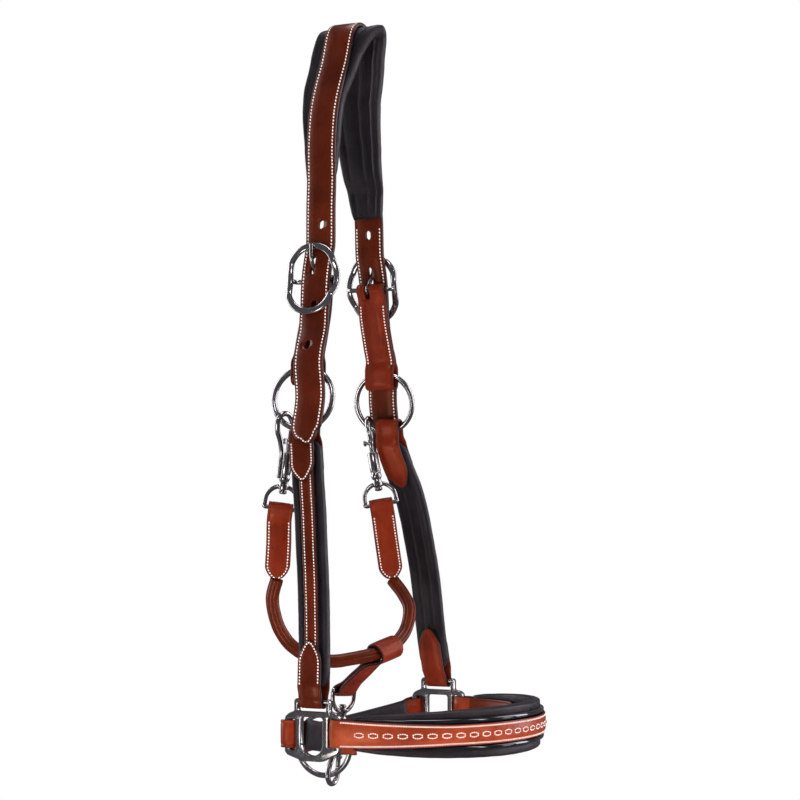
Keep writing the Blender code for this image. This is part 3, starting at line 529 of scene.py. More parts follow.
def lengths_of(points):
    total = [0.0]
    for a, b in zip(points, points[1:]):
        total.append(total[-1] + (b - a).length)
    return total


def locate(points, total, along, index=0):
    """The place at a distance along a route, the direction there, and which stretch it is on."""
    while index < len(points) - 2 and total[index + 1] < along:
        index += 1
    direction = (points[index + 1] - points[index]).normalized()
    return points[index] + direction * (along - total[index]), direction, index


def place_on(points, along):
    return locate(points, lengths_of(points), along)[:2]


def stops(points, pitch):
    """Evenly spaced places about `pitch` apart: each place, the direction there, its stretch and the step."""
    total = lengths_of(points)
    count = max(1, round(total[-1] / pitch))
    step, index = total[-1] / count, 0
    for i in range(count):
        place, direction, index = locate(points, total, (i + 0.5) * step, index)
        yield place, direction, index, step


def directions(points, cyclic=False):
    count = len(points)
    out = []
    for i in range(count):
        before = points[i - 1] if cyclic or i else points[0]
        after = points[(i + 1) % count] if cyclic or i < count - 1 else points[-1]
        out.append((after - before).normalized())
    return out


def with_ends(points):
    """Adds sections close to both ends, for the painted edge and a rounded tip."""
    head = [points[0].lerp(points[1], t) for t in (0, 0.12, 0.35, 0.65)]
    tail = [points[-1].lerp(points[-2], t) for t in (0.65, 0.35, 0.12, 0)]
    return head + points[1:-1] + tail


def squared(side, direction):
    """A side direction made square to the way along."""
    return (side - direction * side.dot(direction)).normalized()


def round_turn(count, shift=0.0):
    return [2 * math.pi * (k + shift) / count for k in range(count)]


def on_circle(centre, first, second, radius, turn):
    return centre + (first * math.cos(turn) + second * math.sin(turn)) * radius


def value(setting, along, total):
    return setting(along, total) if callable(setting) else setting


def blend_between(first, second):
    return lambda along, total: first + (second - first) * (along / total)


def pointed(width, tip=5.0, taper=12.0):
    """A strap's width, brought in at both ends to a small round tip."""

    def at_distance(along, total):
        near = min(along, total - along)
        wide = width if near >= taper else tip + (width - tip) * math.sin(near / taper * math.pi / 2)
        short = 1 - min(1, near / 1.8)
        return wide * max(0.2, math.sqrt(1 - short**2))

    return at_distance


# ---- builders


def half_section(half, thick, depth, crown):
    """(in from the edge, down from the face, paint) from the edge to the middle."""
    shrink = min(1, half / 4.5)
    rows = [(d * shrink, share * thick, rim) for d, share, rim in EDGE]
    rows += [(d * shrink, share * depth, 0) for d, share in CHANNEL]
    rows += [(half * 0.75, 0, 0)] if half * 0.75 > 2.7 * shrink else [(half * 0.9, 0, 0)]
    rows.append((half, 0, 0))
    return [(d, drop - crown * (d / half) * (2 - d / half), rim) for d, drop, rim in rows]


def cross_sections(points, across, width, cyclic=False, skewed=False):
    """Along a route: a point, the ways across and up, the two edges, and the distances along and in all."""
    total = lengths_of(points)
    for point, direction, along in zip(points, directions(points, cyclic), total):
        side = value(across, along, total[-1]).normalized()
        if not skewed:
            side = squared(side, direction)
        up = side.cross(direction).normalized()
        edges = value(width, along, total[-1])
        first, last = edges if isinstance(edges, tuple) else (-edges / 2, edges / 2)
        yield point, side, up, first, last, along, total[-1]


def strap(
    name, points, across, width, low=-PLY / 2, high=PLY / 2,
    cyclic=False, skewed=False, sunk=(1, 1), crown=0.15,
):
    """A strap with rounded, painted edges. Its back and face have channels for stitches where `sunk` is 1.

    Returns it and its sections: (point, side, up, first edge, last edge, low, high, distance along).
    """
    if not cyclic:
        points = with_ends(points)
    loops, rims, sections = [], [], []
    for point, side, up, first, last, along, total in cross_sections(points, across, width, cyclic, skewed):
        half = (last - first) / 2
        face = half_section(half, high - low, SEAM_DEPTH * sunk[1], crown)
        back = half_section(half, high - low, SEAM_DEPTH * sunk[0], 0)
        loop = [(first + d, high - drop, rim) for d, drop, rim in face]
        loop += [(last - d, high - drop, rim) for d, drop, rim in face[-2::-1]]
        loop += [(last - d, low + drop, rim) for d, drop, rim in back[1:]]
        loop += [(first + d, low + drop, rim) for d, drop, rim in back[-2:0:-1]]
        loops.append([point + side * a + up * b for a, b, _ in loop])
        at_end = not cyclic and along in (0, total)
        rims += [1.0 if at_end else rim for _, _, rim in loop]
        sections.append((point, side, up, first, last, low, high, along))
    return skin(name, loops, "leather", cyclic, rims, 50), sections


def seam(sections, edge, face=1, start=3.0, end=3.0, inset=SEAM_IN, least=0.4):
    """A line of stitches beside an edge (-1 or 1) of a strap's face (1) or back (-1)."""
    total = sections[-1][-1]
    line = []
    for point, side, up, first, last, low, high, along in sections:
        half = (last - first) / 2
        if not start <= along <= total - end or half - inset < least:
            continue
        across = (first + last) / 2 + edge * (half - inset)
        height = high - THREAD_SUNK if face > 0 else low + THREAD_SUNK
        line.append((point + side * across + up * height, up * face))
    return line


def seams(sections, faces=(1,), **settings):
    return [seam(sections, edge, face, **settings) for edge in (-1, 1) for face in faces]


def stitches(name, lines, pitch=PITCH, slant=0.24, thick=0.5, share=0.62):
    """Thread stitches as small slanted capsules along lines of (place, up)."""
    points, faces = [], []
    for line in lines:
        if len(line) < 2:
            continue
        for centre, direction, index, step in stops([place for place, _ in line], pitch):
            up = line[index][1]
            side = up.cross(direction).normalized()
            run = direction * math.cos(slant) + side * math.sin(slant)
            flat = up.cross(run).normalized()
            faces += shell_faces(len(points), len(STITCH), STITCH_SIDES)
            for place, size in STITCH:
                for turn in round_turn(STITCH_SIDES):
                    ring = flat * math.cos(turn) * thick + up * math.sin(turn) * thick * 0.8
                    points.append(centre + run * place * step * share + ring * size)
    finish_piece(add_mesh(name, points, faces, "thread"))


def lobe(u, centre, half):
    return math.sqrt(max(0.0, 1 - ((u - centre) / half) ** 2))


def edge_fall(u, part=0.12):
    """1 over a pad's middle, falling round to 0 at its edges."""
    past = max(0.0, (abs(u) - (1 - part)) / part)
    return math.sqrt(max(0.0, 1 - past**2))


def pad(name, points, across, width, inner, outer, kind="nappa", steps=34, ripple=0.12, ripple_size=9.0):
    """A soft padded strip. Inner and outer give the heights of its faces over the route at u from -1 to 1."""
    row = [math.sin(math.pi / 2 * (2 * i / steps - 1)) for i in range(steps + 1)]
    loops = []
    for point, side, up, first, last, along, total in cross_sections(with_ends(points), across, width):
        short = 1 - min(1, min(along, total - along) / PAD_CLOSE)
        plump = max(0.25, math.sqrt(1 - short**2))
        middle = (inner(0, along, total) + outer(0, along, total)) / 2
        loop = []
        for face, places in ((outer, row), (inner, row[-2:0:-1])):
            for u in places:
                a = (first + last) / 2 + u * (last - first) / 2
                loop.append(point + side * a + up * (middle + (face(u, along, total) - middle) * plump))
        loops.append(loop)
    made = skin(name, loops, kind, angle=70)
    if ripple:
        wrinkle(made, ripple, ripple_size)
    return made


def wrinkle(made, depth, size, seed=3.7):
    """Small soft dents and creases, the same each run."""
    mesh = made.data
    offsets = []
    for vertex in mesh.vertices:
        place = vertex.co / MM / size
        dent = noise.noise(place + Vector((seed, seed, seed)))
        crease = 1 - abs(noise.noise(place * 1.7 + Vector((seed * 2, 0, seed))))
        offsets.append(vertex.normal * (depth * (dent - 0.6 * crease**6)) * MM)
    for vertex, offset in zip(mesh.vertices, offsets):
        vertex.co += offset
    mesh.update()


def tube(name, points, radius, sides=16, cyclic=False, across=None):
    """A round steel wire along a route."""
    points = [Vector(p) for p in points]
    loops, side = [], None
    for point, direction in zip(points, directions(points, cyclic)):
        if across is not None:
            side = across
        elif side is None:
            side = direction.orthogonal()
        side = squared(side, direction)
        up = side.cross(direction)
        loops.append([on_circle(point, side, up, radius, turn) for turn in round_turn(sides, 0.5)])
    return skin(name, loops, "steel", cyclic)


def turned(name, profile, start, axis, sides=28):
    """A closed turned steel shape: profile holds (distance along the axis, radius)."""
    side = axis.orthogonal().normalized()
    up = axis.cross(side)
    loops = []
    for along, radius in profile:
        loops.append([on_circle(start + axis * along, side, up, radius, turn) for turn in round_turn(sides)])
    return skin(name, loops, "steel", angle=35)


def softened(profile, by=0.25):
    """A turned profile with each corner cut by a small round."""
    out = [profile[0]]
    for before, here, after in zip(profile, profile[1:], profile[2:]):
        for other in (before, after):
            gap = math.dist(here, other)
            t = min(0.4, by / gap) if gap else 0
            out.append((here[0] + (other[0] - here[0]) * t, here[1] + (other[1] - here[1]) * t))
    return out + [profile[-1]]


def prism(name, outline, origin, across, up, low, high, kind="steel"):
    out = across.cross(up)
    loops = [[origin + across * a + up * b + out * depth for a, b in outline] for depth in (low, high)]
    return skin(name, loops, kind, angle=30)


def arc(centre, radius, start, end, steps):
    turns = [math.radians(start + (end - start) * i / steps) for i in range(steps + 1)]
    return [(centre[0] + radius * math.cos(t), centre[1] + radius * math.sin(t)) for t in turns]


def rounded(outline, radius, steps=4):
    """An outline with each corner rounded."""
    out = []
    count = len(outline)
    for i, here in enumerate(outline):
        before, after = Vector(outline[i - 1]), Vector(outline[(i + 1) % count])
        corner = Vector(here)
        reach = min(radius, 0.45 * (before - corner).length, 0.45 * (after - corner).length)
        start = corner + (before - corner).normalized() * reach
        end = corner + (after - corner).normalized() * reach
        for step in range(steps + 1):
            t = step / steps
            place = start * (1 - t) ** 2 + corner * 2 * t * (1 - t) + end * t**2
            out.append((place.x, place.y))
    return out


def bevelled(made, width):
    """Rounds a made shape's edges, for good."""
    modifier = made.modifiers.new("bevel", "BEVEL")
    modifier.width = width * MM
    modifier.segments = 3
    modifier.limit_method = "ANGLE"
    modifier.angle_limit = math.radians(35)
    modifier.harden_normals = False
    combine(made)


def folded(route, outline, out, spacing, cyclic=False):
    """A curve round both sides of a route, from an outline of its outer side as (distance along, height)."""
    back = outline[-2:0:-1] if cyclic else outline[-2::-1]
    points = []
    for sign, half in ((1, outline), (-1, back)):
        for along, height in half:
            point, direction = place_on(route, along)
            points.append(point + squared(out, direction) * (sign * height))
    return even_curve(points, spacing, cyclic)


# ---- the CAD's places


def at(side, place):
    x, reach, z = place
    return Vector((x, SIDES[side]["sign"] * reach, z))


def outward(side):
    return Vector((0, SIDES[side]["sign"], 0))


def ring_axes(side):
    forward = Vector((math.cos(RING_TURN), math.sin(RING_TURN), 0))
    lean = forward.cross(UP) * SIDES[side]["sign"]
    return forward, Vector((0, 0, math.cos(RING_TILT))) + lean * math.sin(RING_TILT)


def turned_across(side):
    return ring_axes(side)[0] * SIDES[side]["sign"]


def ring_top(side):
    return at(side, SIDES[side]["ring"]) + ring_axes(side)[1] * RING_RADIUS


def ring_bottom(side):
    return at(side, SIDES[side]["ring"]) - ring_axes(side)[1] * RING_RADIUS


def buckle_axes(side):
    along = ring_top(side) - at(side, ARM[-1])
    along.x = 0
    along.normalize()
    return along, squared(outward(side), along)


def upper_route(side):
    bar, ring = at(side, SIDES[side]["bar"]), ring_top(side)
    bar.x = SIDES[side]["strap_x"][1]
    ring.x = SIDES[side]["cheek_x"][0]
    below = bar + buckle_axes(side)[0] * BUCKLE_HEIGHT / 2
    below.x += (ring.x - bar.x) * 0.4
    return curve_through([bar, below, ring + ring_axes(side)[1] * 9, ring], 5)


def cheek_route(side):
    x, reach, _ = SQUARE_CENTRE
    low = ring_bottom(side)
    low.x = SIDES[side]["cheek_x"][1]
    up = ring_axes(side)[1]
    points = [low + up * RING_LEAD, low, low - up * 5]
    points += [at(side, p) for p in SIDES[side]["cheek"] + CHEEK]
    points.append(at(side, (x, reach, SQUARE_TOP_BAR_Z)))
    return curve_through(points, 8.0)


def wire_point(centre, axes, angle):
    return on_circle(centre, *axes, RING_RADIUS, math.radians(angle))


def crown_route(side):
    data = SIDES[side]
    along, out = buckle_axes(side)
    bar = at(side, data["bar"])
    bar.x = data["strap_x"][0]
    face = BAR_RADIUS + 2 * GAP + PLY + GAP
    edge = BUCKLE_HEIGHT / 2 - BUCKLE_BAND / 2
    under_frame = BUCKLE_BOW - BUCKLE_THICK / 2 - CROWN_THICK - 3 * GAP
    points = [at(side, p) for p in CREST + ARM]
    under = [(-edge - 3, under_frame - 0.5), (4 - edge, under_frame), (-5, face), (5, face)]
    under += [(edge - 4, under_frame), (edge + 1, under_frame)]
    points += [bar + along * past + out * height for past, height in under]

    upper, out_level = upper_route(side), outward(side)
    tails, heights = data["tail_x"], data["tail_height"]
    length = lengths_of(upper)[-1]
    for back, height in ((26, 3.4), (18, 4.4), (10, heights[0]), (0, heights[0])):
        place, _ = place_on(upper, length - back)
        place.x = data["strap_x"][0] + (tails[0] - data["strap_x"][0]) * (1 - back / length)
        points.append(place + out_level * height)
    _, reach, z = data["ring"]
    points.append(at(side, (tails[1], reach + heights[1], z)))
    lower = cheek_route(side)
    middle = (heights[1] + heights[2]) / 2
    for past, height, x in ((8, middle, tails[1]), (15, heights[2], tails[2]), (19, heights[2], tails[2])):
        place, _ = place_on(lower, past)
        place.x = x
        points.append(place + out_level * height)
    return points


# ---- the rolled throat strap, the one cord


def throat_roll():
    """Rolled leather with lengthwise grooves, from one stitched tab to the other."""
    ends = {side: at(side, SIDES[side]["tab_end"]) for side in SIDES}
    route = curve_through([ends["right"]] + ROLL + [ends["left"]], FINE)
    radii = [(t, ROLL_RADIUS - ROLL_GROOVE * max(0.0, math.cos(5 * t)) ** 6) for t in round_turn(48)]
    loops, side = [], UP
    for point, direction in zip(route, directions(route)):
        side = squared(side, direction)
        up = side.cross(direction)
        loops.append([on_circle(point, side, up, radius, turn) for turn, radius in radii])
    made = skin("throat_roll_leather", loops, "leather", angle=70)
    wrinkle(made, 0.1, 6.0)
    finish_piece(made, ["throat_roll"])
    lengths_of(route)[-1] * MM


# ---- crown


def crown_points():
    """The crown strap's route, and the distance along it of the crest."""
    right, left = crown_route("right"), crown_route("left")
    route = curve_through(right[::-1] + left[1:], FINE)
    total = lengths_of(route)
    middle = min(range(len(route)), key=lambda i: route[i].y ** 2 + 1e6 * (route[i].z < -20))
    return route, total[middle]


def crown():
    """The crown strap with its holes and stitches, and the pad under it."""
    route, crest = crown_points()
    tapered = pointed(STRAP_WIDTH, taper=14)

    def width(along, total):
        full = CREST_WIDTH - (CREST_WIDTH - STRAP_WIDTH) * min(1, abs(along - crest) / 90)
        return min(full, tapered(along, total))

    made, sections = strap("crown_strap_leather", route, X_AXIS, width, GAP / 2, GAP / 2 + CROWN_THICK)
    combine(made, *[hole for side in SIDES for hole in hole_cutters(side)], operation="DIFFERENCE")
    finish_piece(made, ["crown_strap"])
    first, second = seams(sections, start=0, end=0)
    lines = [first + second[::-1] + first[:1]]
    for sign in (-1, 1):
        bare = [row for row in sections if row[0].z < PAD_END_Z - 3 and row[0].y * sign > 0]
        lines += seams(bare, faces=(-1,), start=4, end=4)
    stitches("crown_strap_stitches", lines)
    crown_pad(route, crest)


def crown_pad(route, crest):
    """The padded lining: a rolled border at each edge, and two wide cushions with soft channels between."""
    ends = [i for i, p in enumerate(route) if p.z > PAD_END_Z]
    points = route[ends[0] : ends[-1] + 1]
    reach = lengths_of(points)[-1] / 2

    def share_of(along):
        return min(1, abs(along - reach) / reach)

    def edges(along, _):
        near = share_of(along)
        arm = 2 if along < reach else 3
        index = max(i for i, row in enumerate(PAD_EDGES[:-1]) if row[0] <= near)
        here, there = PAD_EDGES[index : index + 2]
        t = (near - here[0]) / (there[0] - here[0])
        back, front = (here[k] + (there[k] - here[k]) * t for k in (1, arm))
        return (-back, front)

    def thick(along):
        near = share_of(along)
        pinch = 1 - 0.45 * math.exp(-(((near - 0.86) / 0.045) ** 2))
        return (CROWN_PAD_THICK - 3.5 * max(0, near - 0.3)) * pinch

    def inner(u, along, _):
        cushion = max(0.80 * lobe(u, -0.18, 0.46), 0.84 * lobe(u, 0.38, 0.30))
        level = 0.42 + 0.58 * max(lobe(u, -0.79, 0.2), lobe(u, 0.8, 0.19), cushion)
        flat = math.exp(-(((along - reach) / 5) ** 2))
        level = level * (1 - flat) + flat
        fade = max(0, (share_of(along) - 0.9) / 0.1)
        level = level * (1 - 0.4 * fade) + 0.4 * fade
        return -GAP / 2 - thick(along) * (0.45 + 0.55 * level * edge_fall(u, 0.06))

    def outer(u, along, _):
        covered = abs(u) < 0.62
        lift = 0 if covered else lobe(abs(u), 0.82, 0.2) * 0.9
        return -GAP / 2 - thick(along) * 0.45 * (1 - edge_fall(u, 0.1)) + (lift - 0.4) * (not covered)

    made = pad("crown_pad_nappa", points, X_AXIS, edges, inner, outer, steps=56, ripple=0.16, ripple_size=11)
    finish_pad(made, "crown_pad")


def slot_outline(length, radius):
    """A slot with round ends, lengthwise up."""
    reach = length / 2 - radius
    return arc((0, reach), radius, 0, 180, 12) + arc((0, -reach), radius, 180, 360, 12)


def hole_cutters(side):
    """The crown strap's adjusting holes. The one that the tongue passes through is longer."""
    bar = at(side, SIDES[side]["bar"])
    centre_line = Vector((SIDES[side]["strap_x"][0], bar.y, bar.z))
    along, out = buckle_axes(side)
    cutters = []
    for step in range(-1, 3):
        centre = centre_line + along * (HOLE_START + HOLE_SPACING * step) + out * 4
        outline = slot_outline(HOLE_HEIGHT, HOLE_WIDTH / 2)
        if step == 0:
            centre = bar + along * TONGUE_HOLE[0] + out * 4
            outline = slot_outline(TONGUE_HOLE[1], TONGUE_RADIUS + 0.3)
        name = f"{side}_hole_{step + 1}"
        cutters.append(prism(name, outline, centre, along.cross(out), -along, *CUTTER_DEPTHS, "leather"))
    return cutters


# ---- buckles and upper cheeks


def squarish(turn, power):
    """A point on a circle drawn out toward a square; less power draws it out more."""
    return [math.copysign(abs(c) ** p, c) for c, p in zip((math.cos(turn), math.sin(turn)), power)]


def buckle(side):
    """The bowed oval frame with its bar, and the tongue on its own body."""
    bar = at(side, SIDES[side]["bar"])
    along, out = buckle_axes(side)
    across = along.cross(out)
    half_width = (BUCKLE_WIDTH - BUCKLE_BAND) / 2
    half_height = (BUCKLE_HEIGHT - BUCKLE_BAND) / 2
    points = []
    for turn in round_turn(108):
        a, b = squarish(turn, (0.86, 0.94))
        a, b = half_width * a, half_height * b
        rise = min(1, abs(b) / half_height / 0.5)
        points.append(bar + across * a + along * b + out * (BUCKLE_SET + (BUCKLE_BOW - BUCKLE_SET) * rise**2))
    loops = []
    for point, direction in zip(points, directions(points, cyclic=True)):
        wide = direction.cross(out).normalized()
        thin = wide.cross(direction).normalized()
        band = [squarish(turn, (0.8, 0.8)) for turn in round_turn(20, 0.5)]
        loops.append([point + wide * a * BUCKLE_BAND / 2 + thin * b * BUCKLE_THICK / 2 for a, b in band])
    made = skin(f"{side}_buckle_steel", loops, "steel", cyclic=True, angle=60)
    staple = [(-half_width, BUCKLE_SET), (1.6 - half_width, 1.2), (3.6 - half_width, 0)]
    staple += [(-a, b) for a, b in staple[::-1]]
    rod_points = even_curve([bar + across * a + out * b for a, b in staple], 1.0)
    combine(made, tube(f"{side}_bar", rod_points, BAR_RADIUS, across=along))
    finish_piece(made, [f"{side}_buckle_frame"])

    loop_radius = BAR_RADIUS + GAP + 1.1
    loop = [bar + out * loop_radius * math.cos(t) - along * loop_radius * math.sin(t) for t in round_turn(32)]
    tip_height = BUCKLE_BOW + BUCKLE_THICK / 2 + GAP + TONGUE_RADIUS + 0.1
    tip = bar - along * (half_height + 1.0) + out * tip_height
    rise = bar - along * 12.5 + out * 8.9
    start = bar - along * (loop_radius + 0.3) + out * 1.2
    tongue = tube(f"{side}_tongue_steel", curve_through([start, rise, tip], 0.8), TONGUE_RADIUS)
    combine(tongue, tube(f"{side}_tongue_loop", loop, 1.0, cyclic=True, across=across))
    finish_piece(tongue, [f"{side}_buckle_tongue"], f"{side}_tongue")


def upper_cheek(side):
    """A doubled strap, stitched down both edges, round the buckle's bar and the cheek ring."""
    along, _ = buckle_axes(side)
    bar = at(side, SIDES[side]["bar"])
    route = upper_route(side)
    length = lengths_of(route)[-1]
    top = BAR_RADIUS + 2 * GAP + PLY / 2
    bottom = WIRE_RADIUS + 0.5 + PLY / 2
    close = (PLY + FOLD_GAP) / 2
    drop = length + 7.2
    outline = [(-top * math.cos(t), top * math.sin(t)) for t in QUARTER_TURN]
    outline += [(5.5, close + 0.25)]
    outline += [(past, close) for past in (8, length * 0.35, length * 0.7, length - 8.5)]
    outline += [(length - 3.5, bottom), (length, bottom)]
    outline += [(drop + bottom * math.sin(t), bottom * math.cos(t)) for t in QUARTER_TURN]
    points = folded(route, outline, outward(side), 1.8, cyclic=True)
    twisted = turned_across(side) * SIDES[side]["sign"]

    def across(along_loop, total):
        return X_AXIS + (twisted - X_AXIS) * min(1, 2 * min(along_loop, total - along_loop) / total)

    name = f"{side}_upper_cheek"
    made, sections = strap(f"{name}_leather", points, across, STRAP_WIDTH - 0.5, cyclic=True, sunk=(0, 1))
    outline = arc((0, 4.0), 2.1, 0, 180, 12) + arc((0, -4.4), 2.1, 180, 360, 12)
    level = along.cross(outward(side)).normalized()
    slot = prism(f"{side}_slot", outline, bar, level, -along, *CUTTER_DEPTHS, "leather")
    combine(made, slot, operation="DIFFERENCE")
    finish_piece(made, [f"{name}_strap"])
    low, high = ring_top(side).z + 5, bar.z - 10
    half, lines = len(sections) // 2, []
    for ply in (sections[:half], sections[half:]):
        lines += seams([row for row in ply if low < row[0].z < high], start=0, end=0)
    stitches(f"{name}_stitches", lines, pitch=2.1)


def ring(name, node, centre, axes):
    """A ring of steel wire, on the body that has its node's name."""
    points = [wire_point(centre, axes, 360 * step / 128) for step in range(128)]
    finish_piece(tube(name, points, WIRE_RADIUS, 20, True, axes[0].cross(axes[1])), [node], node)


# ---- lower cheeks


def lower_cheek(side):
    """The padded cheek, its raised and stitched strip, and the folded tabs that hold it."""
    route = cheek_route(side)
    start, end = RING_LEAD + WIRE_RADIUS + 7.5, lengths_of(route)[-1] - 9.5
    middle = [place_on(route, start + (end - start) * i / 22)[0] for i in range(23)]
    upper, lower = turned_across(side), X_AXIS * SIDES[side]["sign"]
    across = blend_between(upper, lower)
    bottom = -(CHEEK_PAD_THICK + CHEEK_STRIP_THICK + GAP) / 2
    face = bottom + CHEEK_PAD_THICK

    def width(along, length):
        near = min(along, length - along)
        return CHEEK_PAD_WIDTH - 8 * max(0, 1 - near / 8) ** 2

    def inner(u, along, _):
        lobes = max(lobe(u, centre, 0.35) for centre in (-0.66, 0, 0.66))
        return bottom + CHEEK_PAD_THICK * 0.5 * (1 - (0.35 + 0.65 * lobes) * edge_fall(u, 0.1))

    def outer(u, along, _):
        if abs(u) < 0.46:
            return face
        border = lobe(abs(u), 0.76, 0.25)
        return bottom + CHEEK_PAD_THICK * (0.5 + (0.28 + 0.36 * border) * edge_fall(u, 0.1))

    name = f"{side}_cheek_pad"
    made = pad(f"{name}_nappa", even_curve(middle), across, width, inner, outer, steps=44, ripple_size=8)
    finish_pad(made, name)

    low, high = face + GAP, face + GAP + CHEEK_STRIP_THICK
    name, middle = f"{side}_cheek_strip", even_curve(middle[1:-1])
    strip, sections = strap(f"{name}_leather", middle, across, CHEEK_STRIP_WIDTH, low, high, crown=0.35)
    finish_piece(strip, [name])
    stitches(f"{name}_stitches", seams(sections, inset=1.9), pitch=2.0, thick=0.46)
    folded_tab(side, "ring_tab", route, RING_LEAD, upper, (2.5, 9.2), RING_TAB_LENGTH)
    folded_tab(side, "square_tab", route[::-1], 0, -lower, (2.9, 0), SQUARE_TAB_LENGTH)


def folded_tab(side, label, route, bar_at, across, inside, length):
    """A pointed strap folded round a wire or a bar, and stitched in one line round its outer tip.

    `inside` is the fold's inner radius, and how far past the bar its end lies; 0 is a fold close round it.
    """
    clear, rise = inside
    turn_at = bar_at - max(0, rise - clear - PLY)
    radius = clear + PLY / 2
    face = (CHEEK_PAD_THICK + CHEEK_STRIP_THICK + GAP) / 2 + 3 * GAP + PLY / 2
    outline = [(bar_at + length * share, face) for share in (1, 0.85, 0.7, 0.55, 0.4, 0.3, 0.22)]
    outline += [(bar_at + 4.2, radius + 0.5), (bar_at + 1.0, radius)]
    outline += [(turn_at - radius * math.sin(t), radius * math.cos(t)) for t in QUARTER_TURN]
    points = folded(route, outline, outward(side), 1.5)
    name = f"{side}_{label}"
    made, sections = strap(f"{name}_leather", points, across, pointed(TAB_WIDTH, 4.5, 14), sunk=(1, 0))
    finish_piece(made, [name])
    flap = [row for row in sections if row[-1] < length - 10]
    first, second = seams(flap, faces=(-1,), start=0, end=0, inset=1.8, least=0.3)
    stitches(f"{name}_stitches", [first[::-1] + second], pitch=2.0, thick=0.46)


def opening(left, right, low, high):
    return rounded([(left, low), (right, low), (right, high), (left, high)], 1.2)


def side_square(side):
    """The cast fitting at the noseband's end: a window, and bars for the cheek, noseband and chin straps."""
    origin = at(side, SQUARE_CENTRE)
    half = SQUARE_WIDTH / 2
    outline = [(-12, 24), (12, 24), (13, 22.8), (13, 16.2), (half - 2.5, 15.6), (half, 13.6), (half, -8.2)]
    outline += [(half - 2, -10.6), (7, -15.6), (-7, -15.6), (2 - half, -12.2)]
    outline += [(-half, -10), (-half, 12), (2.5 - half, 14.4), (-13, 16.2), (-13, 22.8)]
    deep = SQUARE_THICK / 2
    made = prism(f"{side}_square_steel", rounded(outline, 1.2), origin, X_AXIS, UP, -deep, deep)
    loop = half - LOOP_BAR
    cuts = {
        "window": arc((0, -4.0), 8.0, 180, 360, 24) + [(8, 11), (7, 12.4), (-7, 12.4), (-8, 11)],
        "top": opening(-10.4, 10.4, 16.0, 21.0),
        "front": opening(loop - LOOP_SLOT, loop, -6.8, 12.6),
        "back": opening(-loop, LOOP_SLOT - loop, -8.8, 10.6),
    }
    cutters = [prism(f"{side}_{label}", shape, origin, X_AXIS, UP, -6, 6) for label, shape in cuts.items()]
    combine(made, *cutters, operation="DIFFERENCE")
    bevelled(made, 0.75)
    made.data.shade_smooth()
    made.data.set_sharp_from_angle(angle=math.radians(50))
    finish_piece(made, [f"{side}_square"])


# ---- noseband and chin


def nose_route():
    forward, sideways = NOSE_REACH
    x, y = NOSE_ENDS
    points = [Vector((x, -y, NOSE_Z))]
    for step in range(1, 16):
        turn = -math.pi / 2 + math.pi * step / 16
        points.append(Vector((NOSE_CENTRE_X + forward * math.cos(turn), sideways * math.sin(turn), NOSE_Z)))
    points.append(Vector((x, y, NOSE_Z)))
    return curve_through(points, FINE)


def noseband():
    """The padded lining, its patent facing with a bead along each edge, and the strap over them."""
    route = nose_route()

    def toward_front(ends, front):
        return lambda along, total: ends + (front - ends) * math.sin(math.pi * along / total) ** 0.6

    def inner(u, along, _):
        cushion = max(lobe(abs(u), 0.78, 0.24), 0.86 * lobe(u, 0, 0.62))
        return -3.4 + 2.2 * (1 - (0.5 + 0.5 * cushion) * edge_fall(u, 0.08))

    def outer(u, along, total):
        roll = lobe(abs(u), 0.82, 0.2) if abs(u) > 0.62 else 0
        return -1.2 + (3.3 + 1.0 * roll * math.sin(math.pi * along / total)) * edge_fall(u, 0.1)

    width = toward_front(*NOSE_LINING_WIDTHS)
    lining = pad("noseband_pad_nappa", route, DOWN, width, inner, outer, steps=44, ripple=0.14)
    finish_pad(lining, "noseband_pad")

    def piping(u, along, total):
        near = min(along, total - along)
        raised = max(0.0, min(1.0, (near - 22) / 30))
        bead = lobe(abs(u), 0.84, 0.17) * raised
        return 3.2 + 0.7 * edge_fall(u, 0.08) + 1.5 * bead

    def backing(u, along, total):
        return 3.2 - 0.65 * edge_fall(u, 0.08)

    width = toward_front(*NOSE_FACING_WIDTHS)
    facing = pad("noseband_facing_patent", route[3:-3], DOWN, width, backing, piping, "patent", 40, 0.0)
    finish_piece(facing, ["noseband_facing"])
    nose_strap(route)


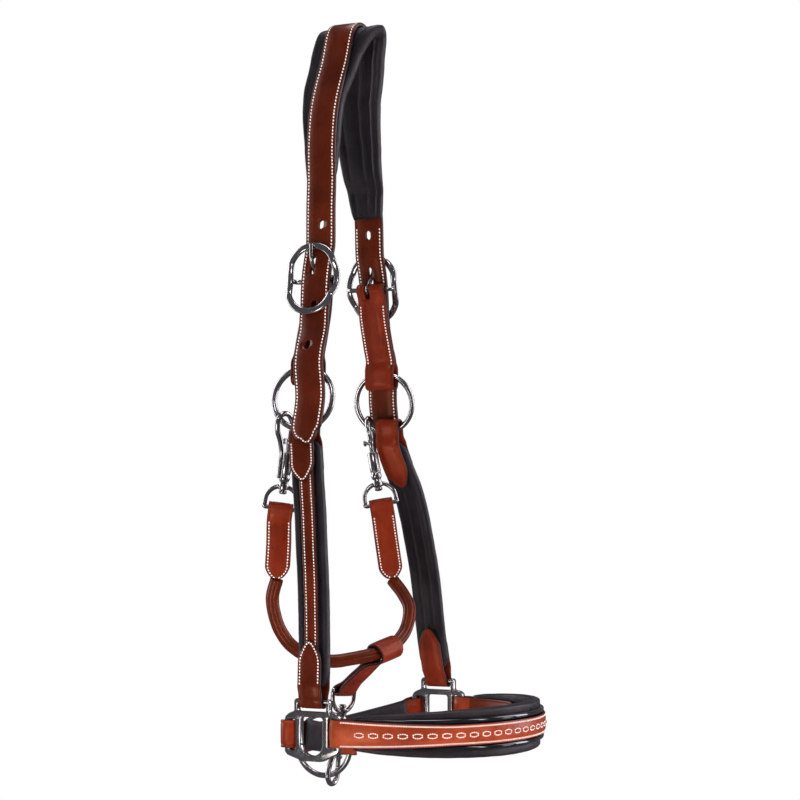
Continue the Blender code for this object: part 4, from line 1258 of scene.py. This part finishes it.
def nose_strap(route):
    """The brown strap round the nose, turned round each square and back on the lining."""
    bar_x = SQUARE_CENTRE[0] + SQUARE_WIDTH / 2 - LOOP_BAR / 2
    wrap = 3.3 + PLY / 2

    def end_points(sign):
        start = route if sign < 0 else route[::-1]
        inner = []
        for along in (48, 34, 20, 8):
            point, direction = place_on(start, along)
            inner.append(point + direction.cross(DOWN) * -sign * (3.4 + GAP + PLY / 2))
        centre = Vector((bar_x, sign * SQUARE_CENTRE[1], NOSE_Z))
        turn = [Vector((-wrap * math.sin(t), -sign * wrap * math.cos(t), 0)) for t in HALF_TURN]
        return inner + [centre + place for place in turn]

    outside = []
    for point, direction in zip(route, directions(route)):
        outside.append(point + DOWN.cross(direction) * (4.4 + PLY / 2))
    points = even_curve(end_points(-1) + outside[6:-6] + end_points(1)[::-1], 1.8)

    def width(along, total):
        near = min(along, total - along)
        wide = NOSE_END_WIDTH - 4.5 * max(0.0, min(1.0, (near - 75) / 70))
        return min(wide, pointed(NOSE_END_WIDTH, 8, 8)(along, total)) if near < 20 else wide

    made, sections = strap("noseband_strap_leather", points, DOWN, width, sunk=(0, 1), crown=0.5)
    finish_piece(made, ["noseband_strap"])
    total = sections[-1][-1]
    # Painted shade: the turned-back ends, in shade behind the squares, are drawn in the darker leather
    shade_turned_back_ends(made.data, [min(row[-1], total - row[-1]) < NOSE_TURNED_BACK for row in sections])
    outer_rows = [row for row in sections if NOSE_SEAM_START < row[-1] < total - NOSE_SEAM_START]
    lines = seams(outer_rows, start=0, end=0, inset=1.5)
    stitches("noseband_edge_stitches", lines, pitch=1.65, slant=0.75, thick=0.38, share=0.9)
    nose_ovals([row for row in outer_rows if NOSE_OVALS_START < row[-1] < total - NOSE_OVALS_START])


def shade_turned_back_ends(mesh, dark):
    """Painted shade: plain dark leather, in place of the strap's lighter look, on the parts of a strap whose
    sections are dark.
    """
    mesh.materials.append(LOOKS["leather"])
    round_faces = (len(mesh.polygons) - 2) // (len(dark) - 1)
    for face in mesh.polygons:
        face.material_index = int(dark[min(face.index // round_faces, len(dark) - 1)])


def nose_ovals(rows):
    """A central row of raised stitched ovals."""
    points, faces, rounds = [], [], []
    half_long, half_wide = OVAL_HALF
    seam_long, seam_wide = OVAL_SEAM_HALF
    middle = [place + up * (high + OVAL_RAISE) for place, _, up, _, _, _, high, _ in rows]
    for centre, direction, index, _ in stops(middle, OVAL_PITCH):
        _, side, up, *_ = rows[index]
        edge = []
        for turn in map(math.radians, range(0, 361, 15)):
            place = centre + direction * math.cos(turn) * seam_long + side * math.sin(turn) * seam_wide
            edge.append((place, up))
        rounds.append(edge)
        faces += shell_faces(len(points), len(OVAL_DOME), OVAL_SIDES)
        for height, size in OVAL_DOME:
            for turn in round_turn(OVAL_SIDES):
                reach = direction * math.cos(turn) * half_long + side * math.sin(turn) * half_wide
                points.append(centre + reach * size + up * height)
    finish_piece(add_mesh("noseband_ovals", points, faces, "leather", [0.0] * len(points)))
    stitches("noseband_oval_stitches", rounds, pitch=1.5, slant=0.0, thick=0.4, share=0.66)


def chin_strap(side):
    """The strap from a square to the chin ring, folded round both, and its lining."""
    sign = SIDES[side]["sign"]
    square_z, ring_z = CHIN_Z
    bar = Vector((SQUARE_CENTRE[0] - SQUARE_WIDTH / 2 + LOOP_BAR / 2, sign * SQUARE_CENTRE[1], square_z))
    held = Vector(CHIN_RING) - CHIN_DIRECTION * sign * (RING_RADIUS - 2.4)
    held.z = ring_z
    route = curve_through([bar] + [at(side, bend) for bend in CHIN_BENDS[side]] + [held], 6.0)
    total = lengths_of(route)[-1]
    bar_wrap, ring_wrap = 3.4 + PLY / 2, 5.0 + PLY / 2
    up = UP * -sign
    outline = [(20, -1.5), (12, -1.7), (5, 0.4 - bar_wrap)]
    outline += [(-bar_wrap * math.sin(t), -bar_wrap * math.cos(t)) for t in HALF_TURN]
    outline += [(6, bar_wrap - 0.6), (13, 1.2), (total * 0.4, 1.2), (total * 0.6, 1.2), (total - 15, 1.2)]
    outline += [(total - 5.5, ring_wrap - 0.7)]
    outline += [(total + ring_wrap * math.sin(t), ring_wrap * math.cos(t)) for t in HALF_TURN]
    outline += [(total - 5.5, 0.7 - ring_wrap), (total - 13, -1.7), (total - 22, -1.5)]
    loop = []
    for along, height in outline:
        point, direction = place_on(route, along)
        loop.append(point + up.cross(direction).normalized() * height)
    width = blend_between(*CHIN_WIDTHS)
    made, sections = strap(f"{side}_chin_leather", even_curve(loop), up, width, sunk=(0, 1))
    finish_piece(made, [f"{side}_chin_strap"])
    rows = [row for row in sections if 46 < row[-1] < sections[-1][-1] - 52]
    stitches(f"{side}_chin_stitches", seams(rows, start=0, end=0))

    middle = [place_on(route, 15 + (total - 37) * i / 10)[0] for i in range(11)]

    def inner(u, along, _):
        return -6.8 + 1.9 * (1 - edge_fall(u, 0.5))

    def outer(u, along, _):
        return -4.9 + 2.0 * edge_fall(u, 0.3)

    width = blend_between(*CHIN_PAD_WIDTHS)
    lining = pad(f"{side}_chin_pad_nappa", even_curve(middle), up, width, inner, outer, steps=26)
    finish_pad(lining, f"{side}_chin_pad")


# ---- snaps and throat


def snap(name, eye_place, wire_place, lateral, bar_direction):
    """A bolt snap, hooked on a ring's wire. Returns its eye's place, its axis and the eye's direction."""
    axis = (wire_place + lateral * HOOK_RADIUS - eye_place).normalized()
    lateral = squared(lateral, axis)
    eye = wire_place + lateral * HOOK_RADIUS - axis * HOOK_CENTRE
    bar_direction = squared(bar_direction, axis)

    half = EYE_WIDTH / 2 - EYE_WIRE
    shape = [(-half, 0), (-half / 2, 0), (half / 2, 0), (half, 0), (half, 2.5)]
    turns = [math.pi * i / 10 for i in range(1, 10)]
    shape += [(half * math.cos(t), 4 + (EYE_TOP - 4) * math.sin(t)) for t in turns]
    shape += [(-half, 2.5)]
    eye_points = even_curve([eye + bar_direction * a + axis * b for a, b in shape], 0.8, cyclic=True)
    eye_piece = tube(f"{name}_eye_steel", eye_points, EYE_WIRE, 14, True, bar_direction.cross(axis))
    boss = softened([(EYE_TOP - 2.3, 3.0), (EYE_TOP - 2.0, 3.4), (EYE_TOP + 2.3, 3.0)])
    combine(eye_piece, turned(f"{name}_boss", boss, eye, axis))
    drill = turned(f"{name}_drill", [(EYE_TOP - 6, 1.75), (EYE_TOP + 6, 1.75)], eye, axis)
    combine(eye_piece, drill, operation="DIFFERENCE")
    finish_piece(eye_piece, [f"{name}_eye"])

    low, high = SNAP_BARREL
    profile = [(EYE_TOP - 5.2, 1.6), (EYE_TOP - 4.6, 2.7), (EYE_TOP - 3.2, 2.7), (EYE_TOP - 2.7, 1.4)]
    profile += [(low - 0.4, 1.4), (low, 2.9), (low + 2, SNAP_BARREL_RADIUS), (low + 4, SNAP_BARREL_RADIUS)]
    profile += [(low + 4.4, 3.35), (low + 5.4, 3.35), (low + 5.8, SNAP_BARREL_RADIUS)]
    profile += [(high - 0.6, SNAP_BARREL_RADIUS), (high, 3.1)]
    body = turned(f"{name}_hook_steel", softened(profile), eye, axis, 32)
    hook = [(-5.0, low + 2.5), (-5.2, 30), (-5.6, 37), (-8.4, 45), (-11.8, 51)]
    hook += arc((-HOOK_RADIUS, HOOK_CENTRE), HOOK_RADIUS, 172, 146, 1)
    hook += arc((-HOOK_RADIUS, HOOK_CENTRE), HOOK_RADIUS, 120, 0, 4)
    hook += [(0, BOLT_TIP + GAP + 0.2)]
    hook_points = even_curve([eye + lateral * a + axis * b for a, b in hook], 0.9)
    combine(body, tube(f"{name}_wire", hook_points, HOOK_WIRE, across=lateral.cross(axis)))
    bore = [(28 - BOLT_TRAVEL - 1, BOLT_RADIUS + GAP), (high + 3, BOLT_RADIUS + GAP)]
    combine(body, turned(f"{name}_bore", bore, eye, axis), operation="DIFFERENCE")
    finish_piece(body, [f"{name}_hook"], name)

    profile = [(28, BOLT_RADIUS), (42.4, BOLT_RADIUS), (42.8, 2.5), (45.8, 2.5), (46.2, BOLT_RADIUS)]
    bolt = turned(f"{name}_bolt_steel", softened(profile + [(BOLT_TIP, BOLT_RADIUS)], 0.15), eye, axis)
    knob_axis = lateral.cross(axis)
    knob_axis *= -math.copysign(1, knob_axis.x)
    knob = softened([(1.0, 1.4), (3.2, 1.4), (3.7, 2.0), (4.7, 2.0), (5.2, 1.2)], 0.15)
    combine(bolt, turned(f"{name}_knob", knob, eye + axis * 44.3, knob_axis))
    finish_piece(bolt, [f"{name}_bolt"], name.replace("snap", "bolt"))
    return eye, axis, bar_direction


def throat_side(side):
    """The snap on a cheek ring and the stitched tab that holds the rolled throat strap."""
    data = SIDES[side]
    wire = wire_point(at(side, data["ring"]), ring_axes(side), data["snap_angle"])
    x, y, _ = SNAP_LATERAL
    lateral = Vector((x, -y * data["sign"], 0))
    eye, axis, bar_direction = snap(f"{side}_snap", at(side, data["snap_eye"]), wire, lateral, EYE_DIRECTION)
    end = at(side, data["tab_end"])
    out = bar_direction.cross(axis).normalized()
    route = curve_through([eye, eye - axis * 8, (eye + end) / 2, end], 6.0)
    wrap = EYE_WIRE + GAP + PLY / 2
    total = lengths_of(route)[-1]
    outline = [(total - 1, 6.0), (total - 5, 4.6), (total * 0.5, 2.8), (8, 1.4), (4.5, 1.6), (0, wrap)]
    outline += [(-wrap * math.sin(t), wrap * math.cos(t)) for t in QUARTER_TURN[1:]]
    points = folded(route, outline, out, 1.5)
    name = f"{side}_throat_tab"
    width = pointed(THROAT_TAB_WIDTH, 7, 9)
    made, sections = strap(f"{name}_leather", points, bar_direction, width, sunk=(0, 1))
    finish_piece(made, [name])
    length, leg = sections[-1][-1], total - 9
    lines = []
    for rows in ([r for r in sections if r[-1] < leg], [r for r in sections if r[-1] > length - leg]):
        lines += seams(rows, start=0, end=0, inset=1.7)
    stitches(f"{name}_stitches", lines, pitch=2.0, thick=0.46)


def connector(chin_eye, bar_direction):
    """The doubled strap that hangs on the rolled strap and carries the chin snap."""
    axis = CONNECTOR_ACROSS
    fall = chin_eye - CONNECTOR_TOP
    down = squared(fall, axis)
    out = axis.cross(down).normalized()
    top, bottom = ROLL_RADIUS + 1.5 + PLY / 2, EYE_WIRE + GAP + 0.1 + PLY / 2
    close = (PLY + FOLD_GAP) / 2
    end_down = squared(fall, bar_direction)
    end_out = bar_direction.cross(end_down).normalized()

    def on_leg(share, height):
        return CONNECTOR_TOP + fall * share + (out + (end_out - out) * share).normalized() * height

    turns = [math.radians(a) for a in range(0, 91, 18)]
    heights = ((0.24, close + 1), (0.34, close), (0.6, close), (0.82, close), (0.93, bottom - 0.5))
    legs = []
    for sign in (1, -1):
        leg = [CONNECTOR_TOP - down * top * math.cos(t) + out * sign * top * math.sin(t) for t in turns]
        leg += [on_leg(share, sign * height) for share, height in heights]
        side = end_out * sign
        for t in QUARTER_TURN:
            leg.append(chin_eye + end_down * bottom * math.sin(t) + side * bottom * math.cos(t))
        legs.append(leg)
    points = even_curve(legs[0] + legs[1][-2:0:-1], 1.6, cyclic=True)

    def share_of(along, total):
        return min(along, total - along) / (total / 2)

    def across(along, total):
        return axis + (bar_direction - axis) * share_of(along, total)

    def width(along, total):
        at_roll, at_eye = CONNECTOR_WIDTHS
        return at_roll + (at_eye - at_roll) * share_of(along, total)

    name = "connecting_strap"
    made, _ = strap(f"{name}_leather", points, across, width, cyclic=True, skewed=True, sunk=(0, 0))
    finish_piece(made, [name])


# ---- studio


STUDIO_MIDDLE = Vector((0, 0, -0.25))
FLOOR_RADIUS = 2.2
FLOOR_Z = -0.9
# Name, place in metres as the camera sees it, size, power, colour, and whether it is seen in reflections
LIGHTS = (
    ("key", (-0.9, -1.3, -0.7), (0.9, 1.0), 12, (1, 1, 1), False),
    ("bounce", (0.1, -0.45, -0.84), (0.7, 0.5), 5, (1.0, 0.96, 0.94), False),
    ("fill", (1.3, -0.9, -0.2), (0.7, 1.4), 16, (1.0, 0.97, 0.94), False),
    ("top", (0.1, 0.2, 1.3), (1.0, 0.8), 12, (0.92, 0.88, 1.0), True),
    ("left_rim", (-1.3, 0.7, 0.2), (0.4, 1.5), 9, (0.92, 0.90, 1.0), True),
    ("right_rim", (1.4, 0.5, 0.1), (0.45, 1.5), 9, (0.90, 0.88, 1.0), True),
    ("strip", (1.35, -0.6, 0.1), (0.16, 1.3), 3.5, (1.0, 0.96, 0.94), True),
    ("glow", (-0.95, -1.3, -0.85), (0.5, 0.5), 4, (1.0, 0.92, 0.86), True),
    ("small", (-0.35, -1.7, 0.75), (0.3, 0.3), 2.5, (1, 1, 1), True),
)


def plain(name, colour, strength=0.0):
    look = bpy.data.materials.new(name)
    look.use_nodes = True
    shader = look.node_tree.nodes["Principled BSDF"]
    shader.inputs["Base Color"].default_value = (*colour, 1)
    shader.inputs["Roughness"].default_value = 0.9
    shader.inputs["Emission Color"].default_value = (*colour, 1)
    shader.inputs["Emission Strength"].default_value = strength
    return look


def card(name, centre, size, material):
    """A flat panel that is seen only in reflections, and faces the hackamore."""
    mesh = bpy.data.meshes.new(name)
    a, b = size[0] / 2, size[1] / 2
    mesh.from_pydata([(-a, -b, 0), (a, -b, 0), (a, b, 0), (-a, b, 0)], [], [(0, 1, 2, 3)])
    mesh.materials.append(material)
    made = link(name, mesh)
    made.location = centre
    made.rotation_euler = (STUDIO_MIDDLE - centre).to_track_quat("Z", "Y").to_euler()
    made.visible_camera = False
    made.visible_shadow = False
    made.visible_diffuse = False


def light(name, centre, size, power, colour, mirrored):
    data = bpy.data.lights.new(name, "AREA")
    data.shape = "RECTANGLE"
    data.size, data.size_y = size
    data.energy = power
    data.color = colour
    made = link(name, data)
    made.location = centre
    made.rotation_euler = (STUDIO_MIDDLE - centre).to_track_quat("-Z", "Y").to_euler()
    made.visible_glossy = mirrored
    made.visible_camera = False


def floor():
    mesh = bpy.data.meshes.new("floor")
    turns = map(math.radians, range(0, 360, 6))
    corners = [(FLOOR_RADIUS * math.cos(t), FLOOR_RADIUS * math.sin(t), FLOOR_Z) for t in turns]
    mesh.from_pydata(corners, [], [tuple(range(len(corners)))])
    mesh.materials.append(plain("floor", (0.86, 0.86, 0.86)))
    made = link("floor", mesh)
    made.visible_glossy = False


def surroundings():
    """A white background that lights the piece softly and is dim in its reflections."""
    world = bpy.data.worlds.new("studio")
    world.use_nodes = True
    tree = world.node_tree
    background = tree.nodes["Background"]
    background.inputs["Strength"].default_value = 1.0
    path = tree.nodes.new("ShaderNodeLightPath")
    shade = None
    for ray, colour in (("Is Glossy Ray", (0.09, 0.09, 0.10, 1)), ("Is Camera Ray", (1, 1, 1, 1))):
        mix = tree.nodes.new("ShaderNodeMix")
        mix.data_type = "RGBA"
        mix.inputs[6].default_value = (0.45, 0.45, 0.47, 1)
        mix.inputs[7].default_value = colour
        if shade:
            tree.links.new(shade, mix.inputs[6])
        tree.links.new(path.outputs[ray], mix.inputs[0])
        shade = mix.outputs[2]
    tree.links.new(shade, background.inputs["Color"])
    bpy.context.scene.world = world
    bpy.context.scene.view_settings.view_transform = "Standard"


def studio():
    floor()
    surroundings()
    for name, place, *settings in LIGHTS:
        light(name, around(*place), *settings)
    pale = plain("pale_card", (0.9, 0.88, 0.9), 0.7)
    dark = plain("dark_card", (0.004, 0.004, 0.005))
    card("card_left", around(-1.75, 0.25, -0.1), (0.6, 2.2), pale)
    card("card_right", around(1.9, 0.1, -0.1), (0.35, 2.2), pale)
    card("card_front", around(0.4, -1.9, -0.2), (0.7, 1.6), dark)


# ---- everything


def build():
    for name in ("Cube", "Light", "Camera"):
        if name in bpy.data.objects:
            bpy.data.objects.remove(bpy.data.objects[name], do_unlink=True)
    add_camera()
    make_looks()
    throat_roll()
    crown()
    for side in SIDES:
        buckle(side)
        upper_cheek(side)
        ring(f"{side}_ring_steel", f"{side}_cheek_ring", at(side, SIDES[side]["ring"]), ring_axes(side))
        lower_cheek(side)
        side_square(side)
        chin_strap(side)
        throat_side(side)
    noseband()
    chin_axes = (CHIN_DIRECTION, UP)
    ring("chin_ring_steel", "chin_ring", Vector(CHIN_RING), chin_axes)
    wire = wire_point(Vector(CHIN_RING), chin_axes, -70)
    chin_eye, _, bar_direction = snap("chin_snap", CHIN_EYE, wire, Vector((0, 1, 0)), CHIN_BAR_DIRECTION)
    connector(chin_eye, bar_direction)
    shade_leather()
    studio()


build()
bpy.context.view_layer.update()
